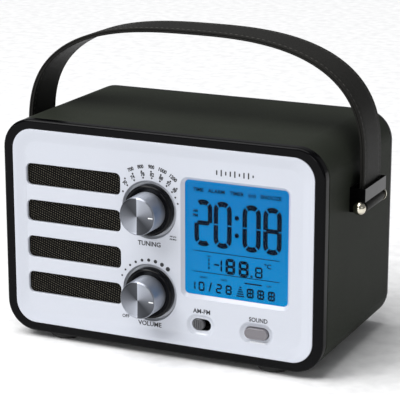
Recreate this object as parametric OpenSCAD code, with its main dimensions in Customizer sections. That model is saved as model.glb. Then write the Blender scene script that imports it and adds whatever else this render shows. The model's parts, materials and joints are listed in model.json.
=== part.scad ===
// Retro clock radio: a leather-wrapped cabinet with a stitched carrying strap, a pressed front
// panel with four grille slots, two knobs and a backlit clock display.
// The origin is at the middle of the base, +Z up, and the front faces -Y. Millimetres.

/* [Cabinet] */
// Width of the cabinet
body_w = 220; // [214:1:280]
// Height of the cabinet, without its feet
body_h = 141; // [139:1:180]
// Depth of the cabinet, from the front panel to the back cover
body_d = 122; // [116:1:170]
// Radius of the cabinet's four long edges
corner_r = 19.5; // [16:0.5:24]
// Thickness of the cabinet wall
wall_t = 4; // [3:0.25:5]
// Thickness of the leather around the cabinet
leather_t = 1.2; // [0.8:0.1:1.6]
// Height of the rubber feet
foot_h = 4.2; // [3:0.1:8]
// Radius of a foot
foot_r = 11; // [8:0.5:13]
// Distance of the feet from the middle, sideways
foot_x = 73.5; // [60:0.5:80]
// Distance of the feet from the front and from the back
foot_inset = 14; // [14:0.5:24]

/* [Front panel] */
// Width of the black bezel around the front panel
bezel_w = 6.7; // [5:0.1:9]
// Depth of the bezel
bezel_d = 6.5; // [6.5:0.1:9]
// Corner radius of the front panel
face_r = 14; // [10:0.5:18]
// Width of the sloping border inside the panel's rim
border_w = 7.2; // [4:0.1:8]
// How far the panel's middle lies behind its rim
panel_sink = 1.5; // [1:0.1:2]
// Thickness of the panel
panel_t = 2; // [1.5:0.1:3]

/* [Grille] */
// Width of a grille slot
slot_w = 67.2; // [50:0.1:68]
// Height of a grille slot
slot_h = 14.2; // [8:0.1:18]
// Distance from one slot to the next
slot_pitch = 24; // [19:0.1:26]
// Distance from the panel's left edge to the slots
slot_margin = 8.9; // [8.5:0.1:14]
// Height of the slots' middle above the panel's middle
slot_mid_z = -1.4; // [-5:0.1:5]
// Radius of the loudspeaker's frame
speaker_r = 38.5; // [34:0.5:38.5]

/* [Knobs] */
// Distance from the slots to the knobs' axis
knob_gap = 20.2; // [20:0.1:24]
// Height of the tuning knob above the panel's middle
tuning_z = 20.6; // [18:0.1:26]
// Height of the volume knob above the panel's middle
volume_z = -33.4; // [-36:0.1:-28]
// Radius of a knob's metal cap
cap_r = 12.2; // [9:0.1:14.8]
// Radius of a knob's black skirt
skirt_r = 16.3; // [15:0.1:17]
// Radius of the dish around a knob
dish_r = 18.6; // [17.5:0.1:19.6]
// How far a knob's face stands in front of the bezel
knob_reach = 16; // [10:0.5:20]
// Radius of a control's shaft
shaft_r = 3; // [2:0.1:3.5]

/* [Display] */
// Width of the visible display
lcd_w = 69; // [50:0.5:69]
// Height of the visible display
lcd_h = 73.2; // [50:0.1:75]
// Distance from the panel's right edge to the display
lcd_margin = 17.8; // [16:0.1:22]
// Height of the display's middle above the panel's middle
lcd_z = 5.9; // [0:0.1:7]

/* [Switches] */
// Sideways place of the band switch from the panel's middle
band_x = 28.2; // [20:0.1:34]
// Sideways place of the sound button from the panel's middle
sound_x = 65.8; // [56:0.1:74]
// Height of both above the panel's middle
switch_z = -50; // [-52:0.1:-48]
// Width of the band switch's thumb piece
thumb_w = 8.2; // [6:0.1:10]
// Travel of the band switch
band_travel = 4; // [2:0.1:4.5]
// Width of the sound button
sound_w = 15.4; // [12:0.1:17]
// Height of the sound button and of the thumb piece
switch_h = 7; // [5:0.1:8]

/* [Strap] */
// Width of the strap
strap_w = 31; // [22:0.5:40]
// Thickness of the strap
strap_t = 3; // [2:0.1:3.6]
// Distance from the cabinet's side to the strap's pivot pin
pin_out = 6.5; // [6.2:0.1:9]
// Distance of the pivot pin below the cabinet's top
pin_drop = 44.5; // [36:0.5:56]
// Radius of the pivot pin
pin_r = 1.3; // [1:0.05:1.6]
// Radius of a pin's domed heads
dome_r = 4.3; // [3:0.1:4.3]
// Height of the strap's top above the cabinet's top
strap_rise = 56.5; // [45:0.5:80]
// Height above the pin at which the strap starts to curve inwards
strap_straight = 24; // [20:0.5:30]
// How square the strap's arch is: 2 is an ellipse, more is squarer
arch_power = 2.75; // [2.2:0.05:3.2]
// Height above the pin at which the strap bends when it sways
shoulder_rise = 30; // [22:0.5:36]

/* [Back] */
// Thickness of the back cover
cover_t = 4; // [3.5:0.1:5]
// Radius of the aerial's outer tube
mast_r = 2.4; // [2.2:0.1:2.8]
// Length of the aerial's outer tube
mast_l = 122; // [90:1:140]

/* [Hidden] */

$fn = 64;
// Clearances: between pieces that are dropped into each other, of a running shaft,
// between pieces that move past each other, and of a screw in its hole
drop_fit = 0.2;
run_fit = 0.05;
move_gap = 0.35;
screw_fit = 0.05;
tiny = 0.01;

// Back of the object: how far the aerial stands behind the back cover
swivel_stand = 2;
swivel_plate = 2;
fork_r = 3;
mast_depth = body_d + swivel_stand + swivel_plate + fork_r + 0.2;
rear_reach = mast_depth + fork_r - body_d;
// The front of the bezel, and the middle of the front panel
front_y = (knob_reach - rear_reach - body_d) / 2;
mid_z = foot_h + body_h / 2;

// Cabinet, inside the leather
shell_w = body_w - 2 * leather_t;
shell_h = body_h - 2 * leather_t;
shell_r = corner_r - leather_t;
inner_w = shell_w - 2 * wall_t;
inner_h = shell_h - 2 * wall_t;
inner_r = shell_r - wall_t;
groove = 0.8;
shell_front = bezel_d + groove;
shell_back = body_d - cover_t;
post_r = 4.5;
post_l = 24;
post_x = inner_w / 2 - inner_r - post_r;
post_z = inner_h / 2 - post_r + 1;
screw_r = 1.5;
screw_head_r = 3;
screw_head_t = 1.8;
screw_l = 12;
foot_boss_r = 3;
foot_boss_h = 3;
foot_screw_l = foot_h / 2 + leather_t + wall_t + foot_boss_h - 0.5;

// Screws that hold the boards on their posts
board_screw_r = 1;
board_screw_head_r = 2;
board_screw_head_t = 1.3;

// Front panel and bezel
face_w = body_w - 2 * bezel_w;
face_h = body_h - 2 * bezel_w + 1.4;
rim_w = 1.2;
panel_back = panel_sink + panel_t;
ledge_w = 3.5;
ledge_front = panel_back + 0.1;
edge_round = 1.6;
spigot_l = 4;
spigot_t = 2.4;
spigot_w = inner_w - 2 * drop_fit;
spigot_h = inner_h - 2 * drop_fit;
baffle_t = 2.5;
baffle_back = bezel_d + baffle_t;
baffle_w = spigot_w - 2 * (spigot_t + drop_fit);
baffle_h = spigot_h - 2 * (spigot_t + drop_fit);

// Grille and loudspeaker
slot_count = 4;
slot_r = 3.4;
slot_x = -face_w / 2 + slot_margin + slot_w / 2;
cloth_margin = 3.2;
cloth_t = 0.6;
speaker_hole_r = speaker_r - 5.5;
speaker_t = 1.2;
speaker_d = 16;
magnet_r = 21;
magnet_t = 10;
neck_r = 12;
speaker_screw_ring = speaker_r - 2.6;
speaker_screw_l = 3.4;
speaker_screw_head_r = 2;
surround_r = speaker_hole_r - 1.8;
speaker_back = baffle_back + speaker_t + speaker_d;

// Knobs and their controls
knob_x = slot_x + slot_w / 2 + knob_gap;
dish_floor = panel_sink + 2.7;
dish_slope = 0.9;
cup_t = 1.2;
cup_r = dish_r + 0.4;
skirt_back = dish_floor - move_gap;
skirt_front = -1.6;
skirt_edge = 1.2;
cap_t = 1.2;
cap_edge = 0.8;
core_r = cap_r - cap_t - screw_fit;
shaft_front = -9;
control_front = 12;
control_w = 20;
can_r = 8.6;
board_t = 1.6;
tuner_board_front = 24;
shaft_back = control_front + 8;
tuner_post_x = 12.4;
tuner_post_top = tuning_z + 14.5;
tuner_post_low = volume_z - 14.5;
tuner_post_r = 2.4;
board_margin = 2.6;

// Display
lcd_x = face_w / 2 - lcd_margin - lcd_w / 2;
lcd_slope = 2;
lcd_r = 3;
lens_front = panel_sink + 2.5;
lens_t = 1.2;
lens_lap = 3;
glass_front = lens_front + lens_t + drop_fit;
glass_t = 2.2;
glass_lap = 4;
light_t = 3.5;
holder_t = 2;
display_board_front = 13;
holder_w = lcd_w + 2 * (glass_lap + drop_fit + holder_t);
holder_h = lcd_h + 2 * (glass_lap + drop_fit + holder_t);
display_post_r = 2.2;
display_post_x = holder_w / 2 - 1;
display_post_top = lcd_z + holder_h / 2 + 4.6;
display_post_low = switch_z - 7;

// Switches on the front
oval_dish = 3.2;
oval_floor = panel_sink + 1.4;
oval_boss = 1.1;
oval_lap = 1.4;
thumb_front = panel_sink + 0.5;
thumb_l = 3;
stem_w = 4;
stem_h = 3;
band_body_w = 14;
band_body_h = 7.5;
band_body_front = 7.4;
button_front = 0.5;
button_flange = 1;
button_lap = 1.5;
button_flange_front = panel_back + oval_boss + 0.3;
sound_travel = 1.2;
plunger_front = button_flange_front + button_flange + 3.3;
tact_w = 6;
tact_front = plunger_front + sound_travel + 0.2;

// Boards inside the cabinet
main_board_z = -inner_h / 2 + 8;
main_board_front = 32;
main_board_w = 104;
main_board_d = 46;
main_board_x = 36;
main_post_r = 3;

// Ferrite rod aerial
rod_r = 4;
rod_l = 84;
rod_x = 24;
rod_depth = 44;
rod_z = inner_h / 2 - 14;
coil_r = 5.4;
coil_l = 24;
rod_holder_w = 6;

// Battery bay in the back cover, for standard AA cells
cell_l = 50.5;
cell_r = 7.2;
cell_nub_r = 2.6;
cell_nub_l = 1.3;
contact_t = 0.5;
contact_w = 10;
contact_room = 3;
bay_w = cell_l + 2 * contact_room;
bay_wall = 1.6;
cell_gap = 0.5;
bay_h = 4 * cell_r + cell_gap + 1.6;
bay_d = 4 * cell_r + cell_gap + 1.4;
bay_z = -inner_h / 2 + 24;
door_t = 2.4;
door_lap = 2.6;
door_front = body_d - 0.2 - door_t;
rebate_front = door_front - drop_fit;
door_w = bay_w + 2 * door_lap;
door_h = bay_h + 2 * door_lap;
door_pin_r = 0.8;
door_pin_l = 2;
door_axis_depth = door_front + door_t / 2;
door_axis_z = bay_z - door_h / 2 + door_t / 2;
bay_front = shell_back - bay_d;

// Sockets and buttons in the back cover
socket_x = -76;
dc_z = -44;
phones_z = -22;
dc_r = 3.1;
dc_pin_r = 0.95;
dc_l = 10;
phones_r = 1.8;
phones_l = 14;
socket_wall = 2.6;
rear_button_r = 4;
rear_button_pitch = 16;
rear_button_z = 8;
rear_button_stand = 1.4;
rear_button_travel = 0.8;
rear_board_front = shell_back - 9;
rear_switch_back = rear_board_front + board_t + 3.4;
rear_flange_r = rear_button_r + 1.2;
rear_stem_r = 1.6;
rear_post_x = 1.5 * rear_button_pitch + rear_flange_r + rear_stem_r + 0.6;

// Telescopic aerial
mast_x = inner_w / 2 - 14;
mast_z = inner_h / 2 - 12;
mast_wall = 0.4;
fork_gap = 4.3;
lug_t = 4;
ear_t = 1.6;
hinge_pin_r = 1;
middle_r = mast_r - mast_wall - run_fit;
tip_r = middle_r - mast_wall - run_fit;
middle_out = 3;
tip_out = 3;
tip_cap_r = 2.2;
tip_cap_l = 4;

// Strap and its brackets
pin_x = body_w / 2 + pin_out;
pin_z = body_h / 2 - pin_drop;
loop_r = pin_r + strap_t;
loop_bore_r = pin_r + run_fit;
mid_depth = body_d / 2;
sheet_t = 1;
flange_gap = 2.5;
bracket_w = strap_w + 2 * (flange_gap + sheet_t);
web_gap = 1.2;
web_out = pin_out + strap_t / 2 + web_gap + sheet_t;
web_low = 3.9;
web_high = 12.3;
ear_r = 3.2;
bracket_screw_z = 7.4;
bracket_screw_y = 8;
bracket_screw_head_t = 1.2;
bracket_screw_l = 7;
arch_a = pin_x + strap_t / 2;
arch_z = pin_z + strap_straight;
arch_b = body_h / 2 + strap_rise - arch_z;
arch_steps = 40;
shoulder_z = pin_z + shoulder_rise;
shoulder_gap = 0.4;

// A rectangle with rounded corners
module rounded(w, h, r) {
    square([w - 2 * r, h], center = true);
    square([w, h - 2 * r], center = true);
    for (x = [-1, 1], y = [-1, 1]) translate([x * (w / 2 - r), y * (h / 2 - r)]) circle(r);
}

// An oval with round ends
module oval(w, h) {
    square([w - h, h], center = true);
    for (x = [-1, 1]) translate([x * (w - h) / 2, 0]) circle(h / 2);
}

// Draws an outline seen from the front, from one depth behind the bezel's front to another
module slab(near, far) {
    translate([0, front_y + far, mid_z]) rotate([90, 0, 0]) linear_extrude(far - near) children();
}

// Turns a profile of (radius, depth) points round an axis that runs straight back
module turned(x, z) {
    translate([x, front_y, mid_z + z]) rotate([-90, 0, 0]) rotate_extrude() children();
}

// A round bar that runs straight back
module bar(x, z, r, near, far) {
    translate([x, front_y + near, mid_z + z]) rotate([-90, 0, 0]) cylinder(r = r, h = far - near);
}

// A round bar along X, from its left end
module cross_bar(x, depth, z, r, l) {
    translate([x, front_y + depth, mid_z + z]) rotate([0, 90, 0]) cylinder(r = r, h = l);
}

// A round bar between two points
module link(a, b, r) {
    d = b - a;
    translate(a) rotate([0, acos(d[2] / norm(d)), atan2(d[1], d[0])]) cylinder(r = r, h = norm(d));
}

// A screw that points to the front: its head's underside is at the given depth
module screw(x, z, depth, l, head_r = screw_head_r) {
    bar(x, z, head_r, depth, depth + screw_head_t);
    bar(x, z, screw_r, depth - l, depth + tiny);
}

// Places of repeated features
function slot_z(i) = slot_mid_z + (1.5 - i) * slot_pitch;
function corners(x, z) = [for (i = [-1, 1], k = [-1, 1]) [i * x, k * z]];
tuner_posts = [for (z = [tuner_post_top, tuner_post_low], i = [-1, 1]) [knob_x + i * tuner_post_x, z]];
display_posts = [for (z = [display_post_top, display_post_low], i = [-1, 1]) [lcd_x + i * display_post_x, z]];
speaker_holes = [for (a = [45:90:315]) [slot_x + speaker_screw_ring * cos(a),
    slot_mid_z + speaker_screw_ring * sin(a)]];
main_posts = [for (i = [-1, 1], k = [0, 1]) [main_board_x + i * (main_board_w / 2 - 6),
    main_board_front + 6 + k * (main_board_d - 12)]];
foot_places = [for (i = [-1, 1], d = [foot_inset, body_d - foot_inset]) [i * foot_x, front_y + d]];
bracket_holes = [for (k = [-1, 1]) [front_y + mid_depth + k * bracket_screw_y,
    mid_z + pin_z + bracket_screw_z]];

// Holes through the cabinet's bottom for the feet, and through its sides for the strap brackets
module shell_holes() {
    for (p = foot_places) translate([p[0], p[1], foot_h - tiny])
        cylinder(r = screw_r + screw_fit, h = leather_t + wall_t + foot_boss_h);
    for (i = [-1, 1], p = bracket_holes)
        translate([i * (body_w / 2 - leather_t - wall_t / 2), p[0], p[1]]) rotate([0, 90, 0])
            cylinder(r = screw_r + screw_fit, h = 2 * (leather_t + wall_t), center = true);
}

module cabinet_shell() color("#26241f") difference() {
    union() {
        slab(shell_front, shell_back) difference() {
            rounded(shell_w, shell_h, shell_r);
            rounded(inner_w, inner_h, inner_r);
        }
        for (p = corners(post_x, post_z)) bar(p[0], p[1], post_r, shell_back - post_l, shell_back);
        for (p = foot_places) translate([p[0], p[1], foot_h + leather_t + wall_t / 2])
            cylinder(r = foot_boss_r, h = wall_t / 2 + foot_boss_h);
        for (p = main_posts) translate([p[0], front_y + p[1], foot_h + leather_t + wall_t / 2])
            cylinder(r = main_post_r, h = mid_z + main_board_z - foot_h - leather_t - wall_t / 2);
    }
    for (p = corners(post_x, post_z))
        bar(p[0], p[1], screw_r + screw_fit, shell_back - post_l + 4, shell_back + tiny);
    shell_holes();
}

module leather_wrap() color("#2f322d") difference() {
    slab(shell_front, shell_back) difference() {
        rounded(body_w, body_h, corner_r);
        rounded(shell_w, shell_h, shell_r);
    }
    shell_holes();
}

module feet() color("#151515") for (p = foot_places) translate([p[0], p[1], 0]) rotate_extrude()
    polygon([[screw_r + screw_fit, foot_h], [foot_r, foot_h], [foot_r, foot_h * 0.45],
        [foot_r - 0.6, foot_h * 0.18], [foot_r - 1.8, 0], [screw_head_r + drop_fit, 0],
        [screw_head_r + drop_fit, foot_h / 2], [screw_r + screw_fit, foot_h / 2]]);

module foot_screws() color("#9a9a9a") for (p = foot_places) translate([p[0], p[1], 0]) {
    translate([0, 0, foot_h / 2 - screw_head_t]) cylinder(r = screw_head_r, h = screw_head_t);
    translate([0, 0, foot_h / 2 - tiny]) cylinder(r = screw_r, h = foot_screw_l);
}

module front_bezel() color("#101012") difference() {
    union() {
        hull() {
            slab(0, tiny) rounded(body_w - 2 * edge_round, body_h - 2 * edge_round, corner_r - edge_round);
            slab(edge_round, bezel_d) rounded(body_w, body_h, corner_r);
        }
        slab(bezel_d - tiny, bezel_d + spigot_l)
            rounded(spigot_w, spigot_h, inner_r - drop_fit);
    }
    slab(-1, ledge_front) rounded(face_w + 2 * drop_fit, face_h + 2 * drop_fit, face_r + drop_fit);
    slab(0, bezel_d) rounded(face_w - 2 * ledge_w, face_h - 2 * ledge_w, face_r - ledge_w);
    slab(bezel_d, bezel_d + spigot_l + 1)
        rounded(spigot_w - 2 * spigot_t, spigot_h - 2 * spigot_t, inner_r - drop_fit - spigot_t);
}

// A dish pressed into the panel around an oval hole
module oval_dish_cut(x, w) {
    hull() {
        slab(panel_sink - tiny, panel_sink) translate([x, switch_z])
            oval(w + 2 * oval_dish, switch_h + 2 * oval_dish, $fn = 32);
        slab(oval_floor - tiny, oval_floor) translate([x, switch_z])
            oval(w + 2, switch_h + 2, $fn = 32);
    }
    slab(panel_sink, panel_back + 3) translate([x, switch_z]) oval(w, switch_h + 2 * move_gap);
}

band_hole_w = thumb_w + band_travel + 2 * move_gap;
sound_hole_w = sound_w + 2 * move_gap;

module faceplate() color("#e8ebf2") difference() {
    union() {
        slab(0, panel_back) rounded(face_w, face_h, face_r);
        for (z = [tuning_z, volume_z]) bar(knob_x, z, cup_r, panel_sink, dish_floor + cup_t);
        slab(panel_sink, lens_front) translate([lcd_x, lcd_z])
            rounded(lcd_w + 2 * lens_lap, lcd_h + 2 * lens_lap, lcd_r + 1);
        slab(panel_sink, panel_back + oval_boss) translate([band_x, switch_z])
            oval(band_hole_w + 2 * oval_lap, switch_h + 2 * oval_lap + 1);
        slab(panel_sink, panel_back + oval_boss) translate([sound_x, switch_z])
            oval(sound_hole_w + 2 * oval_lap, switch_h + 2 * oval_lap + 1);
    }
    hull() {
        slab(-tiny, 0) rounded(face_w - 2 * rim_w, face_h - 2 * rim_w, face_r - rim_w, $fn = 32);
        slab(panel_sink - tiny, panel_sink)
            rounded(face_w - 2 * (rim_w + border_w), face_h - 2 * (rim_w + border_w),
                face_r - rim_w - border_w / 2, $fn = 32);
    }
    hull() {
        slab(panel_sink - tiny, panel_sink) translate([lcd_x, lcd_z])
            rounded(lcd_w + 2 * lcd_slope, lcd_h + 2 * lcd_slope, lcd_r + 1, $fn = 32);
        slab(lens_front, lens_front + tiny) translate([lcd_x, lcd_z])
            rounded(lcd_w, lcd_h, lcd_r, $fn = 32);
    }
    for (i = [0:slot_count - 1]) slab(-1, panel_back + 1) translate([slot_x, slot_z(i)])
        rounded(slot_w, slot_h, slot_r);
    for (z = [tuning_z, volume_z]) {
        turned(knob_x, z) polygon([[0, panel_sink - tiny], [dish_r, panel_sink - tiny],
            [dish_r - dish_slope, dish_floor], [0, dish_floor]]);
        bar(knob_x, z, shaft_r + 2 * move_gap, 0, dish_floor + cup_t + 1);
    }
    oval_dish_cut(band_x, band_hole_w);
    oval_dish_cut(sound_x, sound_hole_w);
}

module grille_cloth() color("#1c1a18") difference() {
    slab(panel_back, panel_back + cloth_t) translate([slot_x, slot_mid_z])
        rounded(slot_w + 2 * cloth_margin, 3 * slot_pitch + slot_h + 2 * cloth_margin, slot_r);
    for (z = [tuning_z, volume_z]) bar(knob_x, z, cup_r + drop_fit, 0, bezel_d);
}

module front_baffle() color("#1b1b1d") difference() {
    union() {
        slab(bezel_d, baffle_back) rounded(baffle_w, baffle_h, inner_r - 2 * drop_fit - spigot_t);
        for (p = tuner_posts) bar(p[0], p[1], tuner_post_r, baffle_back - 1, tuner_board_front);
        for (p = display_posts) bar(p[0], p[1], display_post_r, baffle_back - 1, display_board_front);
    }
    bar(slot_x, slot_mid_z, speaker_hole_r, bezel_d - 1, baffle_back + 1);
    for (p = speaker_holes) bar(p[0], p[1], screw_r + screw_fit, bezel_d - 1, baffle_back + 1);
    for (z = [tuning_z, volume_z]) bar(knob_x, z, shaft_r + 2 * move_gap, bezel_d - 1, baffle_back + 1);
    slab(bezel_d - 1, baffle_back + 1) translate([lcd_x, lcd_z])
        square([holder_w + 2 * drop_fit, holder_h + 2 * drop_fit], center = true);
    slab(bezel_d - 1, baffle_back + 1) translate([band_x, switch_z])
        square([band_body_w + 1, band_body_h + 1], center = true);
    slab(bezel_d - 1, baffle_back + 1) translate([sound_x, switch_z])
        oval(sound_w + 2 * button_lap + 1, switch_h + 2 * button_lap + 1);
    for (p = concat(tuner_posts, display_posts))
        bar(p[0], p[1], board_screw_r, bezel_d, tuner_board_front + 1);
}

module speaker_frame() color("#3c3f44") difference() {
    turned(slot_x, slot_mid_z) polygon([[speaker_hole_r, baffle_back], [speaker_r, baffle_back],
        [speaker_r, baffle_back + speaker_t], [speaker_hole_r + 0.8, baffle_back + speaker_t],
        [magnet_r, speaker_back - 2], [magnet_r, speaker_back], [neck_r, speaker_back],
        [neck_r, speaker_back - speaker_t], [magnet_r - 1.2, speaker_back - 2.4]]);
    for (p = speaker_holes) bar(p[0], p[1], screw_r + screw_fit, baffle_back - 1, baffle_back + 3);
    for (a = [0:60:300]) translate([slot_x, front_y + baffle_back + speaker_d / 2 + 2, mid_z + slot_mid_z])
        rotate([0, a, 0]) translate([magnet_r + 6, 0, 0]) cube([16, 8, 12], center = true);
}

module speaker_cone() color("#15130f") turned(slot_x, slot_mid_z) polygon([
    [0, baffle_back + 4.2], [6, baffle_back + 5], [8.2, baffle_back + 8.6],
    [surround_r - 5, baffle_back + 1.4], [surround_r - 2.5, baffle_back - 0.6],
    [surround_r, baffle_back + 0.4], [surround_r, baffle_back + 1.2],
    [surround_r - 2.5, baffle_back + 0.3], [surround_r - 5, baffle_back + 2.4],
    [9, baffle_back + 10.4], [9, baffle_back + 15], [8.2, baffle_back + 15],
    [8.2, baffle_back + 10.4], [5.4, baffle_back + 5.8], [0, baffle_back + 5]]);

module speaker_magnet() color("#55585c") turned(slot_x, slot_mid_z) polygon([
    [0, speaker_back], [magnet_r + 1, speaker_back], [magnet_r + 1, speaker_back + magnet_t - 2],
    [magnet_r - 1, speaker_back + magnet_t], [0, speaker_back + magnet_t]]);

module speaker_screws() color("#8d8d8d")
    for (p = speaker_holes) screw(p[0], p[1], baffle_back + speaker_t, speaker_screw_l, speaker_screw_head_r);

module display_lens() color("#9fd4f0", 0.4) slab(lens_front, lens_front + lens_t)
    translate([lcd_x, lcd_z]) rounded(lcd_w + 2 * lens_lap, lcd_h + 2 * lens_lap, lcd_r);

module lcd_glass() color("#1080d0") slab(glass_front, glass_front + glass_t)
    translate([lcd_x, lcd_z]) square([lcd_w + 2 * glass_lap, lcd_h + 2 * glass_lap], center = true);

module backlight() color("#e8f4ff") slab(glass_front + glass_t, glass_front + glass_t + light_t)
    translate([lcd_x, lcd_z]) square([lcd_w + 2 * glass_lap, lcd_h + 2 * glass_lap], center = true);

module display_holder() color("#f0f0ee") difference() {
    slab(glass_front, display_board_front) translate([lcd_x, lcd_z])
        square([holder_w, holder_h], center = true);
    slab(glass_front - 1, glass_front + glass_t + light_t) translate([lcd_x, lcd_z])
        square([holder_w - 2 * holder_t, holder_h - 2 * holder_t], center = true);
    slab(glass_front, display_board_front + 1) translate([lcd_x, lcd_z])
        square([lcd_w - 10, lcd_h - 10], center = true);
}

module display_board() color("#1f5c38") difference() {
    board_low = display_post_low - board_margin;
    board_top = display_post_top + board_margin;
    slab(display_board_front, display_board_front + board_t)
        translate([lcd_x - display_post_x - board_margin, board_low])
            square([2 * (display_post_x + board_margin), board_top - board_low]);
    for (p = display_posts) bar(p[0], p[1], board_screw_r + screw_fit, 0, body_d);
}

module tuner_board() color("#1f5c38") difference() {
    slab(tuner_board_front, tuner_board_front + board_t)
        translate([knob_x - tuner_post_x - board_margin, tuner_post_low - board_margin])
            square([2 * (tuner_post_x + board_margin), tuner_post_top - tuner_post_low + 2 * board_margin]);
    for (p = tuner_posts) bar(p[0], p[1], board_screw_r + screw_fit, 0, body_d);
}

// A board's screw: its head stands on the board's back, and its shank reaches into the post
module board_screw(place, board_back, reach) {
    bar(place[0], place[1], board_screw_head_r, board_back, board_back + board_screw_head_t);
    bar(place[0], place[1], board_screw_r - screw_fit, board_back - board_t - reach, board_back + tiny);
}
module board_screws() color("#b8b8b0") {
    for (p = tuner_posts) board_screw(p, tuner_board_front + board_t, 5);
    for (p = display_posts) board_screw(p, display_board_front + board_t, 4);
}

module tuning_capacitor() color("#d8d8cc") difference() {
    slab(control_front, tuner_board_front) translate([knob_x, tuning_z])
        square([control_w, control_w], center = true);
    bar(knob_x, tuning_z, shaft_r + run_fit, control_front - 1, shaft_back + 0.5);
}

module volume_control() color("#a8a8ac") difference() {
    bar(knob_x, volume_z, can_r, control_front, tuner_board_front);
    bar(knob_x, volume_z, shaft_r + run_fit, control_front - 1, shaft_back + 0.5);
}

module control_shaft(z) color("#c9c9cf") bar(knob_x, z, shaft_r, shaft_front, shaft_back);
module tuning_shaft() control_shaft(tuning_z);
module volume_shaft() control_shaft(volume_z);

// The black body of a knob: a skirt in the dish and a core inside the metal cap
module knob_body(z) color("#0d0d0f") difference() {
    turned(knob_x, z) polygon([[0, skirt_back], [skirt_r, skirt_back],
        [skirt_r, skirt_front + skirt_edge], [skirt_r - skirt_edge, skirt_front], [core_r, skirt_front],
        [core_r, -knob_reach + cap_t + screw_fit], [0, -knob_reach + cap_t + screw_fit]]);
    bar(knob_x, z, shaft_r + screw_fit, shaft_front - screw_fit, skirt_back + 1);
}
module tuning_knob_body() knob_body(tuning_z);
module volume_knob_body() knob_body(volume_z);

// The spun metal cap of a knob
module knob_cap(z) color("#b4b9c6") turned(knob_x, z) polygon([
    [0, -knob_reach], [cap_r - cap_edge, -knob_reach], [cap_r, -knob_reach + cap_edge],
    [cap_r, skirt_front], [core_r + screw_fit, skirt_front],
    [core_r + screw_fit, -knob_reach + cap_t], [0, -knob_reach + cap_t]]);
module tuning_knob_cap() knob_cap(tuning_z);
module volume_knob_cap() knob_cap(volume_z);

thumb_x = band_x - band_travel / 2;

module band_switch() color("#8f9094") difference() {
    slab(band_body_front, display_board_front) translate([band_x, switch_z])
        square([band_body_w, band_body_h], center = true);
    slab(band_body_front - 1, band_body_front + 2.2) translate([band_x, switch_z])
        square([stem_w + band_travel + 2 * move_gap, stem_h + 2 * move_gap], center = true);
}

module band_slider() color("#2a2a2c") {
    slab(thumb_front, thumb_front + thumb_l) translate([thumb_x, switch_z])
        rounded(thumb_w, switch_h, switch_h / 2 - 0.1);
    slab(thumb_front + thumb_l - tiny, band_body_front + 1.8) translate([thumb_x, switch_z])
        square([stem_w, stem_h], center = true);
}

module sound_button() color("#77747a") {
    slab(button_front, button_flange_front + tiny) translate([sound_x, switch_z]) oval(sound_w, switch_h);
    slab(button_flange_front, button_flange_front + button_flange) translate([sound_x, switch_z])
        oval(sound_w + 2 * button_lap, switch_h + 2 * button_lap);
    bar(sound_x, switch_z, 1.6, button_flange_front + button_flange - tiny, plunger_front);
}

module sound_switch() color("#3a3a3c") {
    slab(tact_front, display_board_front) translate([sound_x, switch_z])
        square([tact_w, tact_w], center = true);
}

module main_board() color("#1f5c38") difference() {
    translate([main_board_x - main_board_w / 2, front_y + main_board_front, mid_z + main_board_z])
        cube([main_board_w, main_board_d, board_t]);
    for (p = main_posts) translate([p[0], front_y + p[1], mid_z + main_board_z - 1])
        cylinder(r = 1.4, h = board_t + 2);
}

module board_parts() color("#2c3450") {
    top = mid_z + main_board_z + board_t;
    for (i = [0:4]) translate([main_board_x - 38 + 14 * i, front_y + main_board_front + 34, top])
        cylinder(r = 4 + (i % 2), h = 12 + 3 * (i % 2));
    translate([main_board_x - 16, front_y + main_board_front + 16, top]) cube([22, 8, 4]);
    translate([main_board_x + 14, front_y + main_board_front + 12, top]) cube([26, 4, 20]);
    for (i = [0:2]) translate([main_board_x - 40 + 9 * i, front_y + main_board_front + 18, top])
        cube([7, 7, 9]);
}

module ribbon_cable() color("#c8ccd2") {
    top = main_board_z + board_t;
    start = display_board_front + board_t;
    bend = main_board_front + 6;
    translate([lcd_x - 12, front_y, mid_z]) rotate([90, 0, 90]) linear_extrude(24) polygon([
        [start, top + 14], [bend - 6, top + 14], [bend, top + 8], [bend, top],
        [bend + 0.8, top], [bend + 0.8, top + 8.3], [bend - 5.7, top + 14.8], [start, top + 14.8]]);
}

// The loudspeaker's twin lead, in round corners along the cabinet's floor
lead_r = 0.8;
module lead(shift) {
    low = mid_z + main_board_z + board_t;
    high = mid_z + slot_mid_z - magnet_r - 4 + shift;
    back = front_y + speaker_back + magnet_t + 6 + shift;
    end_x = main_board_x - main_board_w / 2 + 8 + shift;
    points = [
        [slot_x + 10, front_y + speaker_back - 1, high],
        [slot_x + 10, back, high],
        [slot_x + 10, back, low + 6 + shift],
        [end_x, back, low + 6 + shift],
        [end_x, back, low]];
    for (i = [0:3]) link(points[i], points[i + 1], lead_r);
    for (i = [1:3]) translate(points[i]) sphere(lead_r);
}
module speaker_lead() color("#a02020") {
    lead(0);
    lead(2.2);
}

module ferrite_rod() color("#2e2e30") cross_bar(rod_x - rod_l / 2, rod_depth, rod_z, rod_r, rod_l);

module rod_coil() color("#b0632a") difference() {
    cross_bar(rod_x - coil_l / 2 + 8, rod_depth, rod_z, coil_r, coil_l);
    cross_bar(rod_x - coil_l / 2 + 7, rod_depth, rod_z, rod_r, coil_l + 2);
}

module rod_holders() color("#e6e6e0") for (i = [-1, 1]) difference() {
    translate([rod_x + i * (rod_l / 2 - 10) - rod_holder_w / 2, front_y + rod_depth - rod_r - 2,
        mid_z + rod_z - rod_r - 2])
        cube([rod_holder_w, 2 * rod_r + 4, inner_h / 2 - rod_z + rod_r + 2]);
    cross_bar(rod_x + i * (rod_l / 2 - 10) - rod_holder_w, rod_depth, rod_z, rod_r, 2 * rod_holder_w);
}

rear_button_xs = [for (i = [0:3]) (i - 1.5) * rear_button_pitch];

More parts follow.
